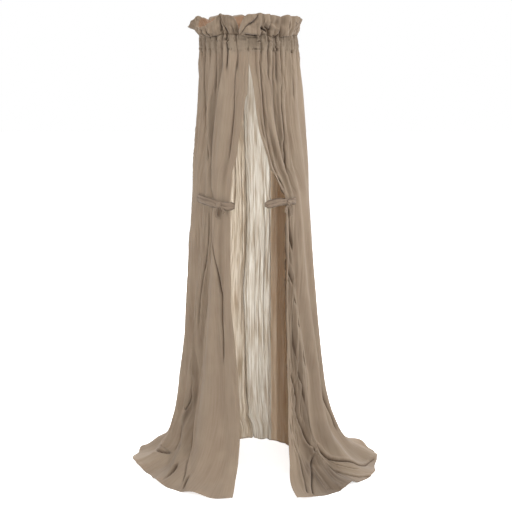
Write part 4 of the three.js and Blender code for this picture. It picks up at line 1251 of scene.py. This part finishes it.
# rear, turn and knot are the degrees where the band starts, where it turns round the curtain's free edge,
# and where its knot lies. tails holds each tail's length and lean
leftTie = {
    "prefix": "left",
    "side": -1,
    "rear": 70,
    "turn": 17,
    "knot": 31,
    "slant": 16,
    "arch": -2.5,
    "width": 28,
    "train": leftCurtain["train"],
    "tails": [(34, 12), (24, -38)],
    "flat": (28, 420),
    "seed": 201,
}
rightTie = {
    "prefix": "right",
    "side": 1,
    "rear": 56,
    "turn": 19,
    "knot": 43,
    "slant": 6,
    "arch": 4.0,  # how far the band bows up between its loop and its knot
    "width": 24,
    "train": rightCurtain["train"],
    "tails": [(36, 16), (26, -26)],
    "flat": (24, 340),
    "seed": 231,
}


def tiePoint(tie, angle, out, across):
    slantShare = (tie["rear"] - np.maximum(angle, tie["turn"])) / (tie["rear"] - tie["turn"])
    bow = tie["arch"] * np.sin(np.pi * np.clip((angle - tie["turn"]) / (tie["knot"] - tie["turn"]), 0, 1))
    height = veil["tieHeight"] + tie["slant"] * (0.5 - slantShare) + bow + across
    radius = curtainRadius((veil["curtainTop"] - height) / veil["curtainTop"], angle, tie["train"])
    return polar(tie["side"], angle, radius + out, height)


def makeTieBand(tie, values):
    rows, columns = values["rows"], values["columns"]
    straight, offset = values["leg"], values["offset"]
    share = np.linspace(0, 1, rows + 1)[:, None]
    leg = np.clip(np.minimum(share, 1 - share) / straight, 0, 1)
    outside = share <= 0.5
    straightAngle = tie["rear"] + (tie["turn"] - tie["rear"]) * leg
    turning = np.clip((share - straight) / (1 - 2 * straight), 0, 1) * np.pi
    turnAngle = tie["turn"] - np.degrees(offset * np.sin(turning) / values["turnRadius"])
    angle = np.where(leg < 1, straightAngle, turnAngle)
    out = np.where(leg < 1, np.where(outside, offset, -offset), offset * np.cos(turning))
    down = share * values["bandLength"]
    nearKnot = bell((angle - tie["knot"]) * 3.0, 22) * outside
    rounded = ease(0.385, 0.46, share) * ease(0.615, 0.54, share)
    narrow = (1 - 0.25 * nearKnot) * (1 - 0.42 * rounded)
    spread = np.linspace(0.5, -0.5, columns + 1)[None, :]
    strand = spread * 1.6 + 0.5 * softNoise(down / 46, 0.5, tie["seed"]) + 0.25
    strands, crumples = values["ripple"]
    ripple = strands * np.cos(2 * np.pi * strand)
    ripple = ripple + crumples * softNoise(spread * 6, down / 15, tie["seed"] + 1)
    puffed = values["puff"] * np.cos(np.pi * spread) * outside * ease(0, 0.04, share)
    # Painted shade, darker between the strands and along both edges
    shade = 0.75 * np.clip(-ripple / 2.4 - 0.15, 0, 1) + 0.5 * ease(0.4, 0.5, np.abs(spread)) + 0 * down
    sway = 2.0 * softNoise(down / 55, 0.5, tie["seed"] + 2)
    across = spread * tie["width"] * narrow + sway
    sign = np.where(outside, 1, -1)
    out = out + np.maximum(ripple, -0.6) * sign + puffed + 0.8
    points = tiePoint(tie, angle + 0 * spread, out, across)
    uv = np.stack(np.broadcast_arrays(spread * tie["width"] + 30, down), axis=-1)
    name, finishes = tie["prefix"] + "_tie_cloth", [(tieMuslin, tieMuslin)]
    piece = clothObject(name, points, uv, finishes, values["bandCloth"], fold=shade)
    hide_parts(tie["prefix"] + "_tie_band")
    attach(piece, tie["prefix"] + "_drape")


def knotFrame(tie, values):
    out = values["knotOut"] + values["knotDepth"] / 2
    centre = tiePoint(tie, np.float64(tie["knot"]), out, 0.0)
    turn = math.radians(tie["side"] * tie["knot"])
    right = np.array([math.cos(turn), math.sin(turn), 0])
    front = np.array([math.sin(turn), -math.cos(turn), 0])
    return centre, right, front


# A tight overhand knot: a lump with two turns of the strip wrapped round it.
def makeKnot(tie, values):
    centre, right, front = knotFrame(tie, values)
    rings, around = values["knotRings"], values["knotAround"]
    rise = np.linspace(0, math.pi, rings + 1)[:, None]
    turn = np.linspace(0, 2 * math.pi, around + 1)[None, :]
    x = np.sin(rise) * np.cos(turn)
    y = np.sin(rise) * np.sin(turn)
    z = np.cos(rise) + 0 * turn
    slant = z * 0.8 + x * 0.6
    wraps = 0.09 * np.cos(slant * 7.5) + 0.05 * softNoise(x * 3 + 9, z * 3 + 9, tie["seed"] + 5)
    swell = 0.93 + wraps
    radius, deep = values["knotRadius"], values["knotDepth"] / 2
    local = (x * radius * swell)[..., None] * right + (y * deep * swell)[..., None] * front
    local = local + (z * radius * swell)[..., None] * np.array([0, 0, 1])
    points = centre + local
    flat = points.reshape(-1, 3)
    index = np.arange(flat.shape[0]).reshape(rings + 1, around + 1)
    index[:, -1] = index[:, 0]
    index[0, :] = index[0, 0]
    index[-1, :] = index[-1, 0]
    faces = []
    for i in range(rings):
        for j in range(around):
            corners = [index[i, j], index[i + 1, j], index[i + 1, j + 1], index[i, j + 1]]
            kept = [int(c) for k, c in enumerate(corners) if c not in corners[:k]]
            faces.append(kept[::-1])
    mesh = bpy.data.meshes.new(tie["prefix"] + "_knot_cloth")
    used = sorted({c for face in faces for c in face})
    number = {old: new for new, old in enumerate(used)}
    mesh.from_pydata(place(flat[used]).tolist(), [], [[number[c] for c in face] for face in faces])
    layer = mesh.uv_layers.new(name="cloth")
    for loop in mesh.loops:
        spot = mesh.vertices[loop.vertex_index].co
        layer.data[loop.index].uv = (spot.x * 0.6 + spot.z * 0.8, spot.z * 0.6 - spot.x * 0.8)
    mesh.materials.append(tieMuslin)
    mesh.polygons.foreach_set("use_smooth", np.ones(len(mesh.polygons), bool))
    piece = bpy.data.objects.new(mesh.name, mesh)
    bpy.context.scene.collection.objects.link(piece)
    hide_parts(tie["prefix"] + "_tie_knot")
    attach(piece, tie["prefix"] + "_drape")


def makeTails(tie, values):
    centre, right, front = knotFrame(tie, values)
    side = tie["side"]
    for i, (length, lean) in enumerate(tie["tails"]):
        share = np.linspace(0, 1, values["tailRows"] + 1)[:, None]
        spread = np.linspace(-0.5, 0.5, values["tailColumns"] + 1)[None, :]
        reach = values["knotRadius"] + values["tailGap"] + length * share
        curl = 5.0 * np.sin(share * math.pi) * np.sign(lean)
        width = values["tailWidth"] * (0.6 + 0.5 * share)
        across = width * spread + curl
        lean = math.radians(lean)
        rightward = side * (reach * math.sin(lean) + across * math.cos(lean))
        upward = -reach * math.cos(lean) + across * math.sin(lean)
        crumple = 0.8 * np.cos(2 * np.pi * spread * 1.6 + 2 * share)
        crumple = crumple + 0.5 * softNoise(spread * 5, share * 5, tie["seed"] + i)
        forward = (i - 0.5) * values["tailSpacing"] + crumple * 0.6
        points = centre + rightward[..., None] * right + forward[..., None] * front
        points = points + upward[..., None] * np.array([0, 0, 1])
        uv = np.stack(np.broadcast_arrays(width * spread + 10, length * share), axis=-1)
        name = tie["prefix"] + "_tail_cloth_" + "ab"[i]
        piece = clothObject(name, points, uv, [(tieMuslin, tieMuslin)], values["tailCloth"])
        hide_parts(tie["prefix"] + "_tie_tail_" + "ab"[i])
        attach(piece, tie["prefix"] + "_tails")


for tie in (leftTie, rightTie):
    makeTieBand(tie, tieValues)
    makeKnot(tie, tieValues)
    makeTails(tie, tieValues)
print("ties made")


# Hard parts. Their grain is spots to the metre, drawn coarser than the real one so that it shows
steelValues = {"colour": "#b9bbbd", "grain": 900, "smooth": 0.26, "dull": 0.44, "bump": 0.00005}
nylonValues = {"colour": "#ebe7df", "cloud": "#dfdad0", "grain": 1400, "clouds": 60, "bump": 0.0001}


# Drawn steel wire gives the eye bright streaks along its length and a dull film of oil
def steelFinish(values):
    material, tree = newMaterial("drawn_steel")
    at = addNode(tree, "TexCoord").outputs["Object"]
    noise = addNode(tree, "TexNoise", {"Vector": at, "Scale": values["grain"], "Detail": 2}).outputs[0]
    rough = {"Value": noise, "To Min": values["smooth"], "To Max": values["dull"]}
    rough = addNode(tree, "MapRange", rough).outputs[0]
    bump = addNode(tree, "Bump", {"Height": noise, "Strength": 0.2, "Distance": values["bump"]}).outputs[0]
    surface = {"Base Color": linear(values["colour"]), "Metallic": 1.0, "Roughness": rough, "Normal": bump}
    surface = addNode(tree, "BsdfPrincipled", surface)
    addNode(tree, "OutputMaterial", {"Surface": surface.outputs[0]})
    return material


# Moulded nylon gives the eye a waxy off-white with a fine spark texture
def nylonFinish(values):
    material, tree = newMaterial("moulded_nylon")
    at = addNode(tree, "TexCoord").outputs["Object"]
    noise = addNode(tree, "TexNoise", {"Vector": at, "Scale": values["grain"], "Detail": 3}).outputs[0]
    cloud = addNode(tree, "TexNoise", {"Vector": at, "Scale": values["clouds"], "Detail": 2}).outputs[0]
    tint = {"Factor": cloud, 6: linear(values["colour"]), 7: linear(values["cloud"])}
    tint = addNode(tree, "Mix", tint, data_type="RGBA").outputs[2]
    bump = addNode(tree, "Bump", {"Height": noise, "Strength": 0.35, "Distance": values["bump"]}).outputs[0]
    surface = addNode(tree, "BsdfPrincipled", {"Base Color": tint, "Roughness": 0.48, "Normal": bump})
    addNode(tree, "OutputMaterial", {"Surface": surface.outputs[0]})
    return material


steel, nylon = steelFinish(steelValues), nylonFinish(nylonValues)
hardFinishes = {"hoop": steel, "grub_screw_left": steel, "grub_screw_right": steel, "hoop_holder": nylon}
for name, finish in hardFinishes.items():
    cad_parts[name].data.materials.clear()
    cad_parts[name].data.materials.append(finish)
print("hard parts finished")


# Studio
studioValues = {
    "world": 0.5,
    "lamps": [
        {"name": "key", "place": (3.0, -2.6, 1.6), "aim": (0, -0.2, -0.5), "size": 0.9, "power": 90},
        {"name": "fill", "place": (-3.3, -2.2, 0.9), "aim": (0, -0.2, -0.6), "size": 0.9, "power": 62},
        {"name": "top", "place": (0.1, -1.6, 2.6), "aim": (0, -0.2, -0.2), "size": 0.9, "power": 27},
        {"name": "back", "place": (0.3, 3.3, 0.7), "aim": (0, 0, -0.6), "size": 2.2, "power": 118},
        {"name": "rim", "place": (3.4, 0.9, 0.2), "aim": (0, -0.2, -0.6), "size": 1.2, "power": 40},
    ],
    "floorWhite": "#ececec",
    "floorGlow": 0.75,  # lifts the floor to white for the camera, and keeps the shadow
    "floorHalf": 14.0,
}


def makeStudio(values):
    world = bpy.data.worlds.new("studio")
    bpy.context.scene.world = world
    world.use_nodes = True
    tree = world.node_tree
    tree.nodes.clear()
    # The camera, glossy surfaces and glass see a white backdrop; the rest gets the world's plain light
    path = addNode(tree, "LightPath").outputs
    seen = path["Is Camera Ray"]
    for ray in ("Is Glossy Ray", "Is Transmission Ray"):
        seen = addNode(tree, "Math", {0: seen, 1: path[ray]}, operation="MAXIMUM").outputs[0]
    light = addNode(tree, "Background", {"Color": (1, 1, 1, 1), "Strength": values["world"]}).outputs[0]
    white = addNode(tree, "Background", {"Color": (1, 1, 1, 1), "Strength": 1.0}).outputs[0]
    mixed = addNode(tree, "MixShader", {0: seen, 1: light, 2: white})
    addNode(tree, "OutputWorld", {"Surface": mixed.outputs[0]})
    for lamp in values["lamps"]:
        light = bpy.data.lights.new(lamp["name"], "AREA")
        light.shape = "DISK"
        light.size = lamp["size"]
        light.energy = lamp["power"]
        holder = bpy.data.objects.new(lamp["name"], light)
        bpy.context.scene.collection.objects.link(holder)
        holder.location = lamp["place"]
        aim = np.array(lamp["aim"]) - np.array(lamp["place"])
        flat = math.hypot(aim[0], aim[1])
        holder.rotation_euler = (math.atan2(flat, -aim[2]), 0, math.atan2(aim[1], aim[0]) - math.pi / 2)
    material, tree = newMaterial("pale_floor")
    seen = addNode(tree, "LightPath").outputs["Is Camera Ray"]
    matt = addNode(tree, "BsdfDiffuse", {"Color": linear(values["floorWhite"])}).outputs[0]
    glow = addNode(tree, "Emission", {"Color": (1, 1, 1, 1), "Strength": values["floorGlow"]}).outputs[0]
    both = addNode(tree, "AddShader", {0: matt, 1: glow}).outputs[0]
    mixed = addNode(tree, "MixShader", {0: seen, 1: matt, 2: both})
    addNode(tree, "OutputMaterial", {"Surface": mixed.outputs[0]})
    half = values["floorHalf"]
    level = -veil["floorDrop"] / 1000
    corners = [(-half, -half, level), (half, -half, level), (half, half, level), (-half, half, level)]
    mesh = bpy.data.meshes.new("floor")
    mesh.from_pydata(corners, [], [(0, 1, 2, 3)])
    mesh.materials.append(material)
    floor = bpy.data.objects.new("floor", mesh)
    bpy.context.scene.collection.objects.link(floor)


makeStudio(studioValues)
bpy.context.scene.view_settings.view_transform = "Standard"
print("studio made")
